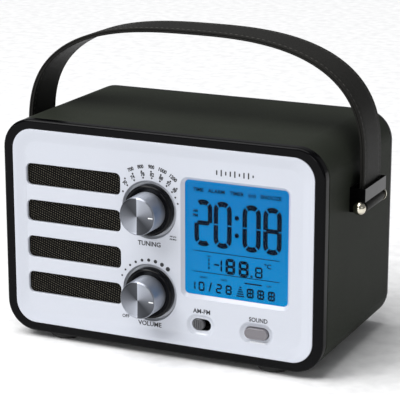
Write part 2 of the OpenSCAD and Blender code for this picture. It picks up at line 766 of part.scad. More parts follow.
module rear_cover() color("#191919") difference() {
    union() {
        hull() {
            slab(shell_back, body_d - edge_round) rounded(body_w, body_h, corner_r);
            slab(body_d - tiny, body_d)
                rounded(body_w - 2 * edge_round, body_h - 2 * edge_round, corner_r - edge_round);
        }
        for (i = [-1, 1]) slab(shell_back - 6, shell_back + tiny)
            translate([i * (inner_w / 2 - drop_fit - 1.2), 0])
                square([2.4, inner_h - 2 * inner_r - 4], center = true);
    }
    slab(shell_back - 1, body_d + 1) translate([0, bay_z]) square([bay_w, bay_h], center = true);
    slab(rebate_front, body_d + 1) translate([0, bay_z])
        square([door_w + 2 * move_gap, door_h + 2 * move_gap], center = true);
    cross_bar(-door_w / 2 - door_pin_l - drop_fit, door_axis_depth, door_axis_z, door_pin_r + run_fit,
        door_w + 2 * (door_pin_l + drop_fit));
    slab(rebate_front, body_d + 1) translate([0, bay_z + door_h / 2]) circle(5);
    for (p = corners(post_x, post_z)) {
        bar(p[0], p[1], screw_r + screw_fit, shell_back - 1, body_d + 1);
        bar(p[0], p[1], screw_head_r + drop_fit, body_d - screw_head_t - 0.2, body_d + 1);
    }
    for (x = rear_button_xs) bar(x, rear_button_z, rear_button_r + move_gap, shell_back - 1, body_d + 1);
    bar(socket_x, dc_z, dc_r + 1, shell_back - 1, body_d + 1);
    bar(socket_x, phones_z, phones_r + 1.6, shell_back - 1, body_d + 1);
    bar(mast_x, mast_z, 2 + run_fit, shell_back - 1, body_d + 1);
    for (i = [-3:3]) slab(shell_back - 1, body_d + 1) translate([slot_x, 30 + 6 * i])
        oval(i % 2 == 0 ? 44 : 40, 2.4);
}

module battery_box() color("#222222") difference() {
    slab(bay_front - bay_wall, shell_back) translate([0, bay_z])
        square([bay_w + 2 * bay_wall, bay_h + 2 * bay_wall], center = true);
    slab(bay_front, shell_back + 1) translate([0, bay_z]) square([bay_w, bay_h], center = true);
}

cell_places = [for (i = [-1, 1], k = [0, 1]) [bay_front + 0.7 + cell_r + k * (2 * cell_r + cell_gap),
    bay_z + i * (cell_r + cell_gap / 2)]];

module batteries() color("#b8782c") for (p = cell_places) {
    cross_bar(-cell_l / 2, p[0], p[1], cell_r, cell_l - cell_nub_l + tiny);
    cross_bar(cell_l / 2 - cell_nub_l, p[0], p[1], cell_nub_r, cell_nub_l);
}

module battery_contacts() color("#c8c8c8") for (p = cell_places) {
    for (x = [-bay_w / 2, bay_w / 2 - contact_t])
        translate([x, front_y + p[0] - contact_w / 2, mid_z + p[1] - contact_w / 2])
            cube([contact_t, contact_w, contact_w]);
    translate([-bay_w / 2 + contact_t - tiny, front_y + p[0], mid_z + p[1]]) rotate([0, 90, 0])
        cylinder(r1 = 4.4, r2 = 2.4, h = contact_room - contact_t);
}

module battery_door() color("#1d1d1d") {
    slab(door_front, door_front + door_t) translate([-door_w / 2, bay_z - door_h / 2 + door_t / 2])
        square([door_w, door_h - door_t / 2]);
    cross_bar(-door_w / 2, door_axis_depth, door_axis_z, door_t / 2, door_w);
    cross_bar(-door_w / 2 - door_pin_l, door_axis_depth, door_axis_z, door_pin_r, door_w + 2 * door_pin_l);
}

// A round socket behind the back cover
module socket(z, r, l) difference() {
    union() {
        slab(body_d - l - socket_wall, shell_back) translate([socket_x, z])
            square([2 * (r + socket_wall), 2 * (r + socket_wall)], center = true);
        bar(socket_x, z, r + 0.8, shell_back - tiny, body_d - 0.4);
    }
    bar(socket_x, z, r, body_d - l, body_d + 1);
}
module dc_socket() color("#101010") {
    socket(dc_z, dc_r, dc_l);
    bar(socket_x, dc_z, dc_pin_r, body_d - dc_l - tiny, body_d - 1.5);
}
module headphone_socket() color("#101010") socket(phones_z, phones_r, phones_l);

module rear_button_board() color("#1f5c38") {
    slab(rear_board_front, rear_board_front + board_t) translate([0, rear_button_z])
        square([2 * (rear_post_x + board_margin), 16], center = true);
    for (x = rear_button_xs) slab(rear_board_front + board_t - tiny, rear_switch_back)
        translate([x, rear_button_z]) square([tact_w, tact_w], center = true);
    for (i = [-1, 1]) bar(i * rear_post_x, rear_button_z, rear_stem_r,
        rear_board_front + board_t - tiny, shell_back);
}

// A round button in the back cover: cap, flange and stem
module rear_button(x) {
    bar(x, rear_button_z, rear_button_r, shell_back - 0.4, body_d + rear_button_stand);
    bar(x, rear_button_z, rear_flange_r, shell_back - 1.4, shell_back - 0.3);
    bar(x, rear_button_z, rear_stem_r, rear_switch_back + rear_button_travel + 0.3, shell_back - 1.3);
}
module mode_button() color("#c9cacc") rear_button(rear_button_xs[3]);
module set_button() color("#c9cacc") rear_button(rear_button_xs[2]);
module up_button() color("#c9cacc") rear_button(rear_button_xs[1]);
module down_button() color("#c9cacc") rear_button(rear_button_xs[0]);

// The aerial's knuckle: a stud in the back cover, a round plate, a fork and the fork's pin
module aerial_swivel() color("#c4c6ca") {
    bar(mast_x, mast_z, 2, shell_back - 3, body_d + swivel_stand + tiny);
    bar(mast_x, mast_z, 4, shell_back - 4.2, shell_back - move_gap);
    bar(mast_x, mast_z, 5.2, body_d + move_gap, body_d + swivel_stand + swivel_plate);
    for (i = [-1, 1]) translate([mast_x, front_y + mast_depth, mid_z + mast_z + i * (fork_gap + ear_t) / 2]) {
        cylinder(r = fork_r, h = ear_t, center = true);
        translate([-fork_r, -fork_r - 0.21, -ear_t / 2]) cube([2 * fork_r, fork_r + 0.21, ear_t]);
    }
    translate([mast_x, front_y + mast_depth, mid_z + mast_z])
        cylinder(r = hinge_pin_r, h = fork_gap + ear_t, center = true);
}

module aerial_mast() color("#d4d6da") difference() {
    union() {
        translate([mast_x, front_y + mast_depth, mid_z + mast_z])
            cylinder(r = fork_r - 0.2, h = lug_t, center = true);
        cross_bar(mast_x - fork_r - 2, mast_depth, mast_z, 1.9, fork_r + 1);
        cross_bar(mast_x - fork_r - 2 - mast_l, mast_depth, mast_z, mast_r, mast_l);
    }
    translate([mast_x, front_y + mast_depth, mid_z + mast_z])
        cylinder(r = hinge_pin_r + run_fit, h = lug_t + 2, center = true);
    cross_bar(mast_x - fork_r - 3 - mast_l, mast_depth, mast_z, middle_r + run_fit, mast_l - 3);
}

mast_end = mast_x - fork_r - 2 - mast_l;
middle_l = mast_l - 6 + middle_out;
tip_l = middle_l - 4 + tip_out;

module aerial_middle() color("#d4d6da") difference() {
    cross_bar(mast_end - middle_out, mast_depth, mast_z, middle_r, middle_l);
    cross_bar(mast_end - middle_out - 1, mast_depth, mast_z, tip_r + run_fit, middle_l - 1);
}

module aerial_tip() color("#d4d6da") {
    cross_bar(mast_end - middle_out - tip_out, mast_depth, mast_z, tip_r, tip_l);
    cross_bar(mast_end - middle_out - tip_out - tip_cap_l, mast_depth, mast_z, tip_cap_r, tip_cap_l + tiny);
}

// The side of a bracket's flange: a strip from the cabinet to the web, rounded about the pin
module flange_outline() {
    translate([body_w / 2, mid_z + pin_z - ear_r]) square([pin_out, ear_r + web_high]);
    translate([body_w / 2, mid_z + pin_z + web_low]) square([web_out, web_high - web_low]);
    translate([pin_x, mid_z + pin_z]) circle(ear_r);
}

// The right bracket: a base on the cabinet's side, two flanges and an outer web
module bracket() difference() {
    union() {
        for (k = [-1, 1]) translate([0, front_y + mid_depth + k * (bracket_w - sheet_t) / 2 + sheet_t / 2, 0])
            rotate([90, 0, 0]) linear_extrude(sheet_t) flange_outline();
        translate([body_w / 2, front_y + mid_depth - bracket_w / 2, mid_z + pin_z - ear_r])
            cube([sheet_t, bracket_w, ear_r + web_high]);
        translate([body_w / 2 + web_out - sheet_t, front_y + mid_depth - bracket_w / 2,
            mid_z + pin_z + web_low]) cube([sheet_t, bracket_w, web_high - web_low]);
    }
    translate([pin_x, front_y + mid_depth + bracket_w, mid_z + pin_z]) rotate([90, 0, 0])
        cylinder(r = pin_r + screw_fit, h = 2 * bracket_w);
    for (p = bracket_holes) translate([body_w / 2, p[0], p[1]]) rotate([0, 90, 0])
        cylinder(r = screw_r + screw_fit, h = 3 * sheet_t, center = true);
}
module bracket_pair() {
    bracket();
    mirror([1, 0, 0]) bracket();
}
module strap_brackets() color("#3b3b40") bracket_pair();

// The screws that hold the back cover to the cabinet's posts, and each bracket's base to its side
module case_screws() color("#8f8f8f") {
    for (p = corners(post_x, post_z)) screw(p[0], p[1], body_d - screw_head_t - 0.2, screw_l);
    for (i = [0, 1], p = bracket_holes) mirror([i, 0, 0])
        translate([body_w / 2 + sheet_t, p[0], p[1]]) rotate([0, 90, 0]) {
            cylinder(r = screw_head_r, h = bracket_screw_head_t);
            translate([0, 0, -bracket_screw_l]) cylinder(r = screw_r, h = bracket_screw_l + tiny);
        }
}

// A pin with domed heads outside the flanges
module strap_pin() {
    half = bracket_w / 2;
    translate([pin_x, front_y + mid_depth, mid_z + pin_z]) rotate([90, 0, 0]) {
        cylinder(r = pin_r, h = bracket_w + 1, center = true);
        for (k = [0, 1]) mirror([0, 0, k]) translate([0, 0, half]) intersection() {
            sphere(dome_r);
            cylinder(r = dome_r, h = dome_r);
        }
    }
}
module strap_pins() color("#cfc9b4") {
    strap_pin();
    mirror([1, 0, 0]) strap_pin();
}

// Points of the strap's arch, from right to left, a given distance inside its outer face
function arch_point(t, inset) = [
    (arch_a - inset) * sign(cos(t)) * pow(abs(cos(t)), 2 / arch_power),
    arch_z + (arch_b - inset) * pow(sin(t), 2 / arch_power)];
arch_outer = [for (i = [0:arch_steps]) arch_point(180 * i / arch_steps, 0)];
arch_inner = [for (i = [arch_steps:-1:0]) arch_point(180 * i / arch_steps, strap_t)];

// Draws an outline in the strap's plane over the strap's width
module strap_sheet() {
    translate([0, front_y + mid_depth + strap_w / 2, mid_z]) rotate([90, 0, 0])
        linear_extrude(strap_w) children();
}

module strap_outline() {
    polygon(concat(arch_outer, arch_inner));
    for (i = [-1, 1]) translate([i * pin_x - strap_t / 2, pin_z]) square([strap_t, strap_straight + tiny]);
}

module strap_span() color("#1e1b1a") strap_sheet() intersection() {
    strap_outline();
    translate([-body_w, shoulder_z + shoulder_gap / 2]) square([2 * body_w, body_h]);
}

module strap_leg(side) color("#1e1b1a") difference() {
    strap_sheet() union() {
        intersection() {
            strap_outline();
            translate([side * pin_x - 4 * strap_t, pin_z])
                square([8 * strap_t, shoulder_rise - shoulder_gap / 2]);
        }
        translate([side * pin_x, pin_z]) circle(loop_r);
    }
    translate([side * pin_x, front_y + mid_depth + strap_w, mid_z + pin_z]) rotate([90, 0, 0])
        cylinder(r = loop_bore_r, h = 2 * strap_w);
}
module strap_left_leg() strap_leg(-1);
module strap_right_leg() strap_leg(1);

cabinet_shell();
leather_wrap();
feet();
foot_screws();
front_bezel();
faceplate();
grille_cloth();
front_baffle();
speaker_frame();
speaker_cone();
speaker_magnet();
speaker_screws();
display_lens();
lcd_glass();
backlight();
display_holder();
display_board();
tuner_board();
board_screws();
tuning_capacitor();
tuning_shaft();
tuning_knob_body();
tuning_knob_cap();
volume_control();
volume_shaft();
volume_knob_body();
volume_knob_cap();
band_switch();
band_slider();
sound_button();
sound_switch();
main_board();
board_parts();
ribbon_cable();
speaker_lead();
ferrite_rod();
rod_coil();
rod_holders();
rear_cover();
battery_box();
batteries();
battery_contacts();
battery_door();
dc_socket();
headphone_socket();
rear_button_board();
mode_button();
set_button();
up_button();
down_button();
aerial_swivel();
aerial_mast();
aerial_middle();
aerial_tip();
strap_brackets();
case_screws();
strap_pins();
strap_left_leg();
strap_span();
strap_right_leg();
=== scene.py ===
"""Retro clock radio: the looks of a leather-wrapped table radio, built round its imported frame.

Lengths are in metres. Flat work, such as the front panel, is drawn on a plane whose X runs to the
reader's right, whose Y runs up and whose level grows out of the panel, and is then set in place.
"""

import json
import logging
import math
from bisect import bisect_right
from dataclasses import dataclass, field
from enum import Enum
from typing import Iterable, Sequence

import bmesh
import bpy
from mathutils import Matrix, Vector


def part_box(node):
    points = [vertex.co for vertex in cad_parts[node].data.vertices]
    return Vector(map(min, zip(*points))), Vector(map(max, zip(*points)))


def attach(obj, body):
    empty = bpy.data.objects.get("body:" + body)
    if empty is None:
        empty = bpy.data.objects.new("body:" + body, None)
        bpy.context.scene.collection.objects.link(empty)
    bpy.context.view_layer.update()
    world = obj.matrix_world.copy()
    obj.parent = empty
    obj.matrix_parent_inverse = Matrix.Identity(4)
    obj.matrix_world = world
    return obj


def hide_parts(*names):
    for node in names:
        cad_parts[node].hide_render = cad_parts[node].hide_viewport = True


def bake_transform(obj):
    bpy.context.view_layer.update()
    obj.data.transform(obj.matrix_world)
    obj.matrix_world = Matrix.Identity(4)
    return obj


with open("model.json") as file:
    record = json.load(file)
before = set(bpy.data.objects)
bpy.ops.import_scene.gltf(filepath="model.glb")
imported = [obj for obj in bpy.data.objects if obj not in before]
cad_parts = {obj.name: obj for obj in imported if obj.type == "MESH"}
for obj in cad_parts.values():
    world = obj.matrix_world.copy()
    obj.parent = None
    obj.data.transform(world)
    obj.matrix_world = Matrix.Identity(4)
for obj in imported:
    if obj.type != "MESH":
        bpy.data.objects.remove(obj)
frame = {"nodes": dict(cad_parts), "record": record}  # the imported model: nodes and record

LOG = logging.getLogger("clock_radio")
MM = 0.001
MERGE = 1e-6
Colour = tuple[float, float, float]


# ---------------------------------------------------------------------------------------------
# Finishes
# ---------------------------------------------------------------------------------------------


class Graph:
    """The shader nodes of one finish, with its Principled shader and its Object coordinates."""

    def __init__(self, name: str) -> None:
        """Starts an empty finish of that name."""
        self.material = bpy.data.materials.new(name)
        self.material.use_nodes = True
        self.tree = self.material.node_tree
        self.tree.nodes.clear()
        self.output = self.tree.nodes.new("ShaderNodeOutputMaterial")
        self.shader = self.tree.nodes.new("ShaderNodeBsdfPrincipled")
        self.tree.links.new(self.shader.outputs["BSDF"], self.output.inputs["Surface"])
        self.object_coords = self.node("ShaderNodeTexCoord").outputs["Object"]

    def node(self, kind: str, inputs: dict | None = None, **settings: object) -> bpy.types.Node:
        """Adds one node.

        Args:
            kind: the node's type.
            inputs: socket names or numbers, each with a value or with a socket to link from.
            settings: the node's own properties.

        Returns:
            The new node.
        """
        made = self.tree.nodes.new(kind)
        for key, value in settings.items():
            setattr(made, key, value)
        for key, value in (inputs or {}).items():
            self.feed(made.inputs[key], value)
        return made

    def feed(self, socket: bpy.types.NodeSocket, value: object) -> None:
        """Links a socket to another, or sets its value."""
        if isinstance(value, bpy.types.NodeSocket):
            self.tree.links.new(value, socket)
        else:
            socket.default_value = value

    def set(self, **sockets: object) -> None:
        """Sets or links the shader's sockets; an underscore stands for a space in a name."""
        for key, value in sockets.items():
            self.feed(self.shader.inputs[key.replace("_", " ")], value)

    def math(self, operation: str, a: object, b: object = 0.0) -> bpy.types.NodeSocket:
        """Returns the result of a Math node on two values or sockets."""
        return self.node("ShaderNodeMath", {0: a, 1: b}, operation=operation).outputs[0]

    def noise(self, scale: float, detail: float = 2.0, vector: object = None) -> bpy.types.NodeSocket:
        """Returns the grey value of a noise of that scale, in turns per metre."""
        source = self.object_coords if vector is None else vector
        return self.node("ShaderNodeTexNoise",
                         {"Vector": source, "Scale": scale, "Detail": detail}).outputs[0]

    def ramp(self, value: object, stops: Sequence[tuple[float, Colour]]) -> bpy.types.NodeSocket:
        """Returns a colour that runs through the stops as value goes from 0 to 1."""
        made = self.node("ShaderNodeValToRGB", {"Fac": value})
        elements = made.color_ramp.elements
        while len(elements) < len(stops):
            elements.new(0.5)
        for element, (place, colour) in zip(elements, stops):
            element.position = place
            element.color = (*colour, 1.0)
        return made.outputs["Color"]

    def spread(self, value: object, low: float, high: float) -> bpy.types.NodeSocket:
        """Returns value, from 0 to 1, carried over to the range from low to high."""
        return self.node("ShaderNodeMapRange", {"Value": value, "To Min": low,
                                                "To Max": high}).outputs["Result"]

    def bump(self, height: object, depth: float, strength: float = 1.0) -> bpy.types.NodeSocket:
        """Returns the normal of a surface that the height moves by up to depth metres."""
        return self.node("ShaderNodeBump", {"Height": height, "Distance": depth,
                                            "Strength": strength}).outputs["Normal"]


def shade(colour: Colour, factor: float) -> Colour:
    """Returns a colour made lighter or darker by a factor."""
    return tuple(min(1.0, c * factor) for c in colour)


@dataclass(frozen=True)
class Finish:
    """A surface finish; material() makes it once and gives it again after that."""

    name: str
    colour: Colour
    roughness: float = 0.4

    def material(self) -> bpy.types.Material:
        """Returns the finish's material, made at its first use."""
        title = f"{self.name}_finish"
        known = bpy.data.materials.get(title)
        if known is not None:
            return known
        graph = Graph(title)
        graph.material.diffuse_color = (*self.colour, 1.0)
        self.dress(graph)
        return graph.material

    def mottled(self, graph: Graph, scale: float, by: float) -> bpy.types.NodeSocket:
        """Returns the finish's colour with patches that are lighter and darker by a share."""
        stops = [(0.3, shade(self.colour, 1 - by)), (0.7, shade(self.colour, 1 + by))]
        return graph.ramp(graph.noise(scale, 4.0), stops)

    def dress(self, graph: Graph) -> None:
        """Adds the finish's own nodes."""
        graph.set(Base_Color=self.mottled(graph, 60.0, 0.05), Roughness=self.roughness)


@dataclass(frozen=True)
class Moulded(Finish):
    """Moulded plastic or rubber with a fine spark-eroded texture."""

    grain: float = 1800.0
    relief: float = 0.03 * MM
    coat: float = 0.0

    def dress(self, graph: Graph) -> None:
        """Mottles the colour and stipples the surface."""
        texture = graph.noise(self.grain, 3.0)
        graph.set(Base_Color=self.mottled(graph, 90.0, 0.08), Coat_Weight=self.coat,
                  Coat_Roughness=0.08, Normal=graph.bump(texture, self.relief),
                  Roughness=graph.spread(texture, self.roughness - 0.06, self.roughness + 0.06))


@dataclass(frozen=True)
class Leather(Finish):
    """Pressed leather: small rounded cells with creases between them, and a light wax sheen."""

    cell: float = 0.9 * MM
    relief: float = 0.10 * MM
    sheen: float = 0.0
    shine: float = 0.02

    def dress(self, graph: Graph) -> None:
        """Presses the grain and darkens its creases."""
        wander = graph.node("ShaderNodeTexNoise", {"Vector": graph.object_coords,
                                                   "Scale": 0.35 / self.cell}).outputs["Color"]
        moved = graph.node("ShaderNodeMix", {0: 0.0004, 6: graph.object_coords, 7: wander},
                           data_type="RGBA", blend_type="ADD").outputs[2]
        cells = graph.node("ShaderNodeTexVoronoi", {"Vector": moved, "Scale": 1 / self.cell,
                                                    "Smoothness": 0.6},
                           feature="SMOOTH_F1").outputs["Distance"]
        pores = graph.noise(2.5 / self.cell, 3.0)
        height = graph.math("ADD", graph.math("SUBTRACT", 1.0, cells), graph.math("MULTIPLY", pores, 0.25))
        worn = graph.ramp(graph.noise(14.0, 5.0), [(0.35, shade(self.colour, 0.86)),
                                                   (0.7, shade(self.colour, 1.16))])
        creased = graph.node("ShaderNodeMix", {0: graph.spread(cells, 0.0, 0.5), 6: worn,
                                               7: (*shade(self.colour, 0.55), 1.0)},
                             data_type="RGBA").outputs[2]
        graph.set(Base_Color=creased, Normal=graph.bump(height, self.relief, 0.8),
                  Sheen_Weight=self.sheen, Specular_IOR_Level=self.shine,
                  Roughness=graph.spread(cells, self.roughness - 0.05, self.roughness + 0.14))


@dataclass(frozen=True)
class Lacquer(Finish):
    """Sprayed paint under a clear coat, with a faint orange peel."""

    coat: float = 0.5
    pearl: float = 0.0
    shine: float = 0.5

    def dress(self, graph: Graph) -> None:
        """Adds flake to the colour and peel to the surface."""
        flake = graph.noise(5200.0, 2.0)
        stops = [(0.3, shade(self.colour, 1 - 0.02 - self.pearl)), (0.75, shade(self.colour, 1.02))]
        graph.set(Base_Color=graph.ramp(flake, stops), Coat_Weight=self.coat, Coat_Roughness=0.06,
                  Specular_IOR_Level=self.shine,
                  Roughness=graph.spread(graph.noise(70.0), self.roughness - 0.03,
                                         self.roughness + 0.03),
                  Normal=graph.bump(graph.noise(420.0, 2.0), 0.006 * MM))


@dataclass(frozen=True)
class Polished(Finish):
    """Polished or plated metal with faint smears and hairline marks."""

    smear: float = 0.06

    def dress(self, graph: Graph) -> None:
        """Varies the shine in patches and lays hairlines over it."""
        patches = graph.noise(180.0, 5.0)
        stretched = graph.node("ShaderNodeMapping", {"Vector": graph.object_coords,
                                                     "Scale": (1.0, 14.0, 1.0)}).outputs[0]
        hairlines = graph.noise(900.0, 2.0, stretched)
        graph.set(Base_Color=self.mottled(graph, 140.0, 0.04), Metallic=1.0,
                  Roughness=graph.spread(patches, max(0.02, self.roughness - self.smear),
                                         self.roughness + self.smear),
                  Normal=graph.bump(hairlines, 0.002 * MM))


@dataclass(frozen=True)
class Turned(Finish):
    """Metal turned on a lathe about an axis that runs from front to back, with fine tool rings, and with painted
    reflection: light and dark sectors painted into its face's colour.
    """

    centre: tuple[float, float, float] = (0.0, 0.0, 0.0)
    face: float = 0.0
    ring_pitch: float = 0.12 * MM
    grip: float = 0.8
    # Painted reflection: how light or dark the face is painted at each share of a half turn round the axis
    painted_reflection_sectors: tuple[tuple[float, float], ...] = ((0.0, 1.25), (0.3, 0.9), (0.5, 0.4), (0.75, 0.16),
                                                (1.0, 0.22))

    def dress(self, graph: Graph) -> None:
        """Cuts the rings, stretches the sheen across them and paints reflection sectors into the face's colour."""
        back = tuple(-c for c in self.centre)
        local = graph.node("ShaderNodeMapping", {"Vector": graph.object_coords,
                                                 "Location": back}).outputs[0]
        flat = graph.node("ShaderNodeVectorMath", {0: local, 1: (1.0, 0.0, 1.0)},
                          operation="MULTIPLY").outputs[0]
        radius = graph.node("ShaderNodeVectorMath", {0: flat}, operation="LENGTH").outputs["Value"]
        depth = graph.node("ShaderNodeSeparateXYZ", {0: local}).outputs["Y"]
        travel = graph.math("ADD", radius, depth)
        rings = graph.node("ShaderNodeTexNoise", {"W": travel, "Scale": 1 / self.ring_pitch,
                                                  "Detail": 3.0}, noise_dimensions="1D").outputs[0]
        along = graph.node("ShaderNodeVectorMath", {0: (0.0, 1.0, 0.0), 1: flat},
                           operation="CROSS_PRODUCT").outputs[0]
        groove = graph.node("ShaderNodeVectorTransform", {0: along}, vector_type="VECTOR",
                            convert_from="OBJECT", convert_to="WORLD").outputs[0]
        normal = graph.node("ShaderNodeNewGeometry").outputs["Normal"]
        tangent = graph.node("ShaderNodeVectorMath", {0: normal, 1: groove},
                             operation="CROSS_PRODUCT").outputs[0]
        tint = graph.ramp(rings, [(0.25, shade(self.colour, 0.88)), (0.75, shade(self.colour, 1.1))])
        # The base colour carries painted reflection sectors on the face
        graph.set(Base_Color=self.painted_sector_reflection(graph, local, depth, tint), Metallic=1.0,
                  Anisotropic=self.grip, Tangent=tangent,
                  Roughness=graph.spread(rings, self.roughness - 0.05, self.roughness + 0.05),
                  Normal=graph.bump(rings, 0.004 * MM))

    def painted_sector_reflection(self, graph: Graph, local: bpy.types.NodeSocket, depth: bpy.types.NodeSocket,
                  tint: bpy.types.NodeSocket) -> bpy.types.NodeSocket:
        """Returns the colour with painted reflection: the dark and light sectors that a spun face reflects, painted
        twice round it and fixed to the metal, so they turn with the knob.

        Args:
            graph: the material's nodes.
            local: the place, from the axis.
            depth: the place along the axis.
            tint: the metal's colour.
        """
        place = graph.node("ShaderNodeSeparateXYZ", {0: local})
        angle = graph.math("ARCTAN2", place.outputs["X"], place.outputs["Z"])
        share = graph.math("FRACT", graph.math("DIVIDE", angle, math.pi))
        # Painted reflection: light and dark sectors by angle, multiplied into the colour on the face only
        painted_reflection = graph.ramp(share, [(at, (by, by, by)) for at, by in self.painted_reflection_sectors])
        painted_reflection_mask = graph.math("LESS_THAN", depth, self.face)
        return graph.node("ShaderNodeMix", {0: painted_reflection_mask, 6: tint, 7: painted_reflection}, data_type="RGBA",
                          blend_type="MULTIPLY").outputs[2]


@dataclass(frozen=True)
class Cloth(Finish):
    """Woven loudspeaker cloth: dark threads with a lighter fleck where they cross."""

    pitch: float = 2.0 * MM
    fleck: Colour = (0.14, 0.13, 0.10)

    def dress(self, graph: Graph) -> None:
        """Weaves the threads on the diagonal and raises them."""
        turned = graph.node("ShaderNodeMapping", {"Vector": graph.object_coords,
                                                  "Rotation": (0.0, math.radians(32.0), 0.0)}).outputs[0]
        parts = graph.node("ShaderNodeSeparateXYZ", {0: turned})
        turns = math.tau / self.pitch
        waves = [graph.math("SINE", graph.math("MULTIPLY", parts.outputs[axis], turns * rate))
                 for axis, rate in (("X", 1.0), ("Z", 0.8))]
        crossing = graph.math("MULTIPLY", *waves)
        lifted = graph.math("MULTIPLY_ADD", crossing, 0.5)
        lifted.node.inputs[2].default_value = 0.5
        uneven = graph.math("MULTIPLY", lifted, graph.spread(graph.noise(500.0, 3.0), 0.75, 1.15))
        threads = graph.ramp(uneven, [(0.0, shade(self.colour, 0.4)), (0.72, self.colour),
                                      (0.92, self.fleck)])
        graph.set(Base_Color=threads, Roughness=self.roughness, Specular_IOR_Level=0.1,
                  Normal=graph.bump(uneven, 0.25 * MM))


@dataclass(frozen=True)
class Backlit(Finish):
    """A lit display: a clear blue that is brighter towards its lamp at the foot."""

    low_colour: Colour = (0.0, 0.33, 0.83)
    foot: float = 0.04
    head: float = 0.12
    strength: float = 1.0

    def dress(self, graph: Graph) -> None:
        """Lights the field from its foot and adds the faint cells of the glass."""
        height = graph.node("ShaderNodeSeparateXYZ", {0: graph.object_coords}).outputs["Z"]
        share = graph.node("ShaderNodeMapRange", {"Value": height, "From Min": self.foot,
                                                  "From Max": self.head}).outputs["Result"]
        cells = graph.math("MULTIPLY", graph.noise(2600.0, 1.0), 0.06)
        glow = graph.ramp(graph.math("ADD", share, cells), [(0.0, self.low_colour), (1.0, self.colour)])
        graph.set(Base_Color=(0.0, 0.01, 0.02, 1.0), Roughness=self.roughness, Emission_Color=glow,
                  Specular_IOR_Level=0.08, Emission_Strength=self.strength)


@dataclass(frozen=True)
class Clear(Finish):
    """Clear moulded window with a faint polish mark."""

    def dress(self, graph: Graph) -> None:
        """Lets light through and leaves a trace of polishing."""
        graph.set(Base_Color=(*self.colour, 1.0), Transmission_Weight=1.0, IOR=1.12,
                  Roughness=graph.spread(graph.noise(40.0), 0.0, self.roughness),
                  Normal=graph.bump(graph.noise(60.0), 0.001 * MM))


@dataclass(frozen=True)
class Circuit(Finish):
    """A printed circuit board: solder mask over square-cornered tracks."""

    def dress(self, graph: Graph) -> None:
        """Draws the tracks as cells and lifts them."""
        tracks = graph.node("ShaderNodeTexVoronoi", {"Vector": graph.object_coords, "Scale": 420.0},
                            feature="F1", distance="CHEBYCHEV").outputs["Distance"]
        stops = [(0.3, shade(self.colour, 0.7)), (0.45, shade(self.colour, 1.5))]
        graph.set(Base_Color=graph.ramp(tracks, stops), Roughness=self.roughness, Coat_Weight=0.3,
                  Normal=graph.bump(tracks, 0.02 * MM))


@dataclass(frozen=True)
class Wound(Finish):
    """A coil of enamelled wire laid side by side along X."""

    wire: float = 0.5 * MM

    def dress(self, graph: Graph) -> None:
        """Lays the turns of wire."""
        along = graph.node("ShaderNodeSeparateXYZ", {0: graph.object_coords}).outputs["X"]
        turns = graph.math("ABSOLUTE", graph.math("SINE", graph.math("MULTIPLY", along,
                                                                      math.pi / self.wire)))
        tint = graph.ramp(turns, [(0.1, shade(self.colour, 0.4)), (0.8, self.colour)])
        graph.set(Base_Color=tint, Metallic=0.8, Roughness=self.roughness,
                  Normal=graph.bump(turns, 0.2 * MM))


CASE_LEATHER = Leather("case_leather", (0.030, 0.0335, 0.0265), 0.40, cell=0.55 * MM,
                       relief=0.05 * MM)
STRAP_LEATHER = Leather("strap_leather", (0.021, 0.0205, 0.019), 0.38, cell=0.8 * MM, shine=0.04)
THREAD = Moulded("stitching_thread", (0.055, 0.052, 0.046), 0.6, grain=2400.0, relief=0.1 * MM)
GLOSS_BLACK = Lacquer("gloss_black", (0.0015, 0.0015, 0.002), 0.18, coat=0.08, shine=0.05)
PEARL_WHITE = Lacquer("pearl_white", (0.58, 0.605, 0.67), 0.30, coat=0.35, pearl=0.03)
GRILLE_CLOTH = Cloth("speaker_cloth", (0.004, 0.0036, 0.0032), 0.85)
KNOB_BLACK = Lacquer("knob_black", (0.003, 0.003, 0.004), 0.22, coat=0.1, shine=0.1)
SWITCH_BLACK = Lacquer("switch_black", (0.004, 0.004, 0.004), 0.5, coat=0.0, shine=0.1)
PRINT = Moulded("printed_black", (0.012, 0.012, 0.016), 0.45, relief=0.002 * MM)
POINTER_WHITE = Moulded("pointer_white", (0.85, 0.86, 0.88), 0.4, relief=0.004 * MM)
SWITCH_GREY = Moulded("switch_grey", (0.075, 0.075, 0.08), 0.38, coat=0.2)
BUTTON_GREY = Lacquer("button_grey", (0.17, 0.16, 0.175), 0.3, coat=0.4)
REAR_GREY = Moulded("rear_button_grey", (0.30, 0.30, 0.31), 0.45)
CASE_PLASTIC = Moulded("case_plastic", (0.016, 0.016, 0.017), 0.55, grain=1300.0, relief=0.06 * MM)
WHITE_PLASTIC = Moulded("white_plastic", (0.75, 0.75, 0.74), 0.5)
RUBBER = Moulded("foot_rubber", (0.010, 0.010, 0.010), 0.75, grain=900.0, relief=0.08 * MM)
CONE_PAPER = Moulded("cone_paper", (0.014, 0.012, 0.011), 0.9, grain=500.0, relief=0.15 * MM)
FERRITE = Moulded("ferrite", (0.045, 0.045, 0.05), 0.6, grain=700.0)
LEAD_RED = Moulded("lead_red", (0.35, 0.02, 0.02), 0.5)
CELL_SLEEVE = Moulded("cell_sleeve", (0.42, 0.20, 0.05), 0.3, coat=0.4)
BOARD_GREEN = Circuit("board_green", (0.015, 0.10, 0.045), 0.35)
COIL_COPPER = Wound("coil_copper", (0.55, 0.25, 0.10), 0.35)
ZINC = Polished("zinc_steel", (0.52, 0.53, 0.55), 0.32)
CHROME = Polished("bright_chrome", (0.78, 0.79, 0.81), 0.14)
BLACK_NICKEL = Polished("black_nickel", (0.014, 0.014, 0.015), 0.2)
NICKEL = Polished("warm_nickel", (0.70, 0.66, 0.55), 0.13, smear=0.03)
WINDOW = Clear("clear_window", (0.96, 0.98, 1.0), 0.03)
DISPLAY_BLUE = Backlit("display_blue", (0.0, 0.176, 0.48), 0.2, (0.0, 0.225, 0.54), 0.0445, 0.117)
SEGMENT_INK = Lacquer("segment_ink", (0.0, 0.006, 0.018), 0.6, coat=0.0, shine=0.05)

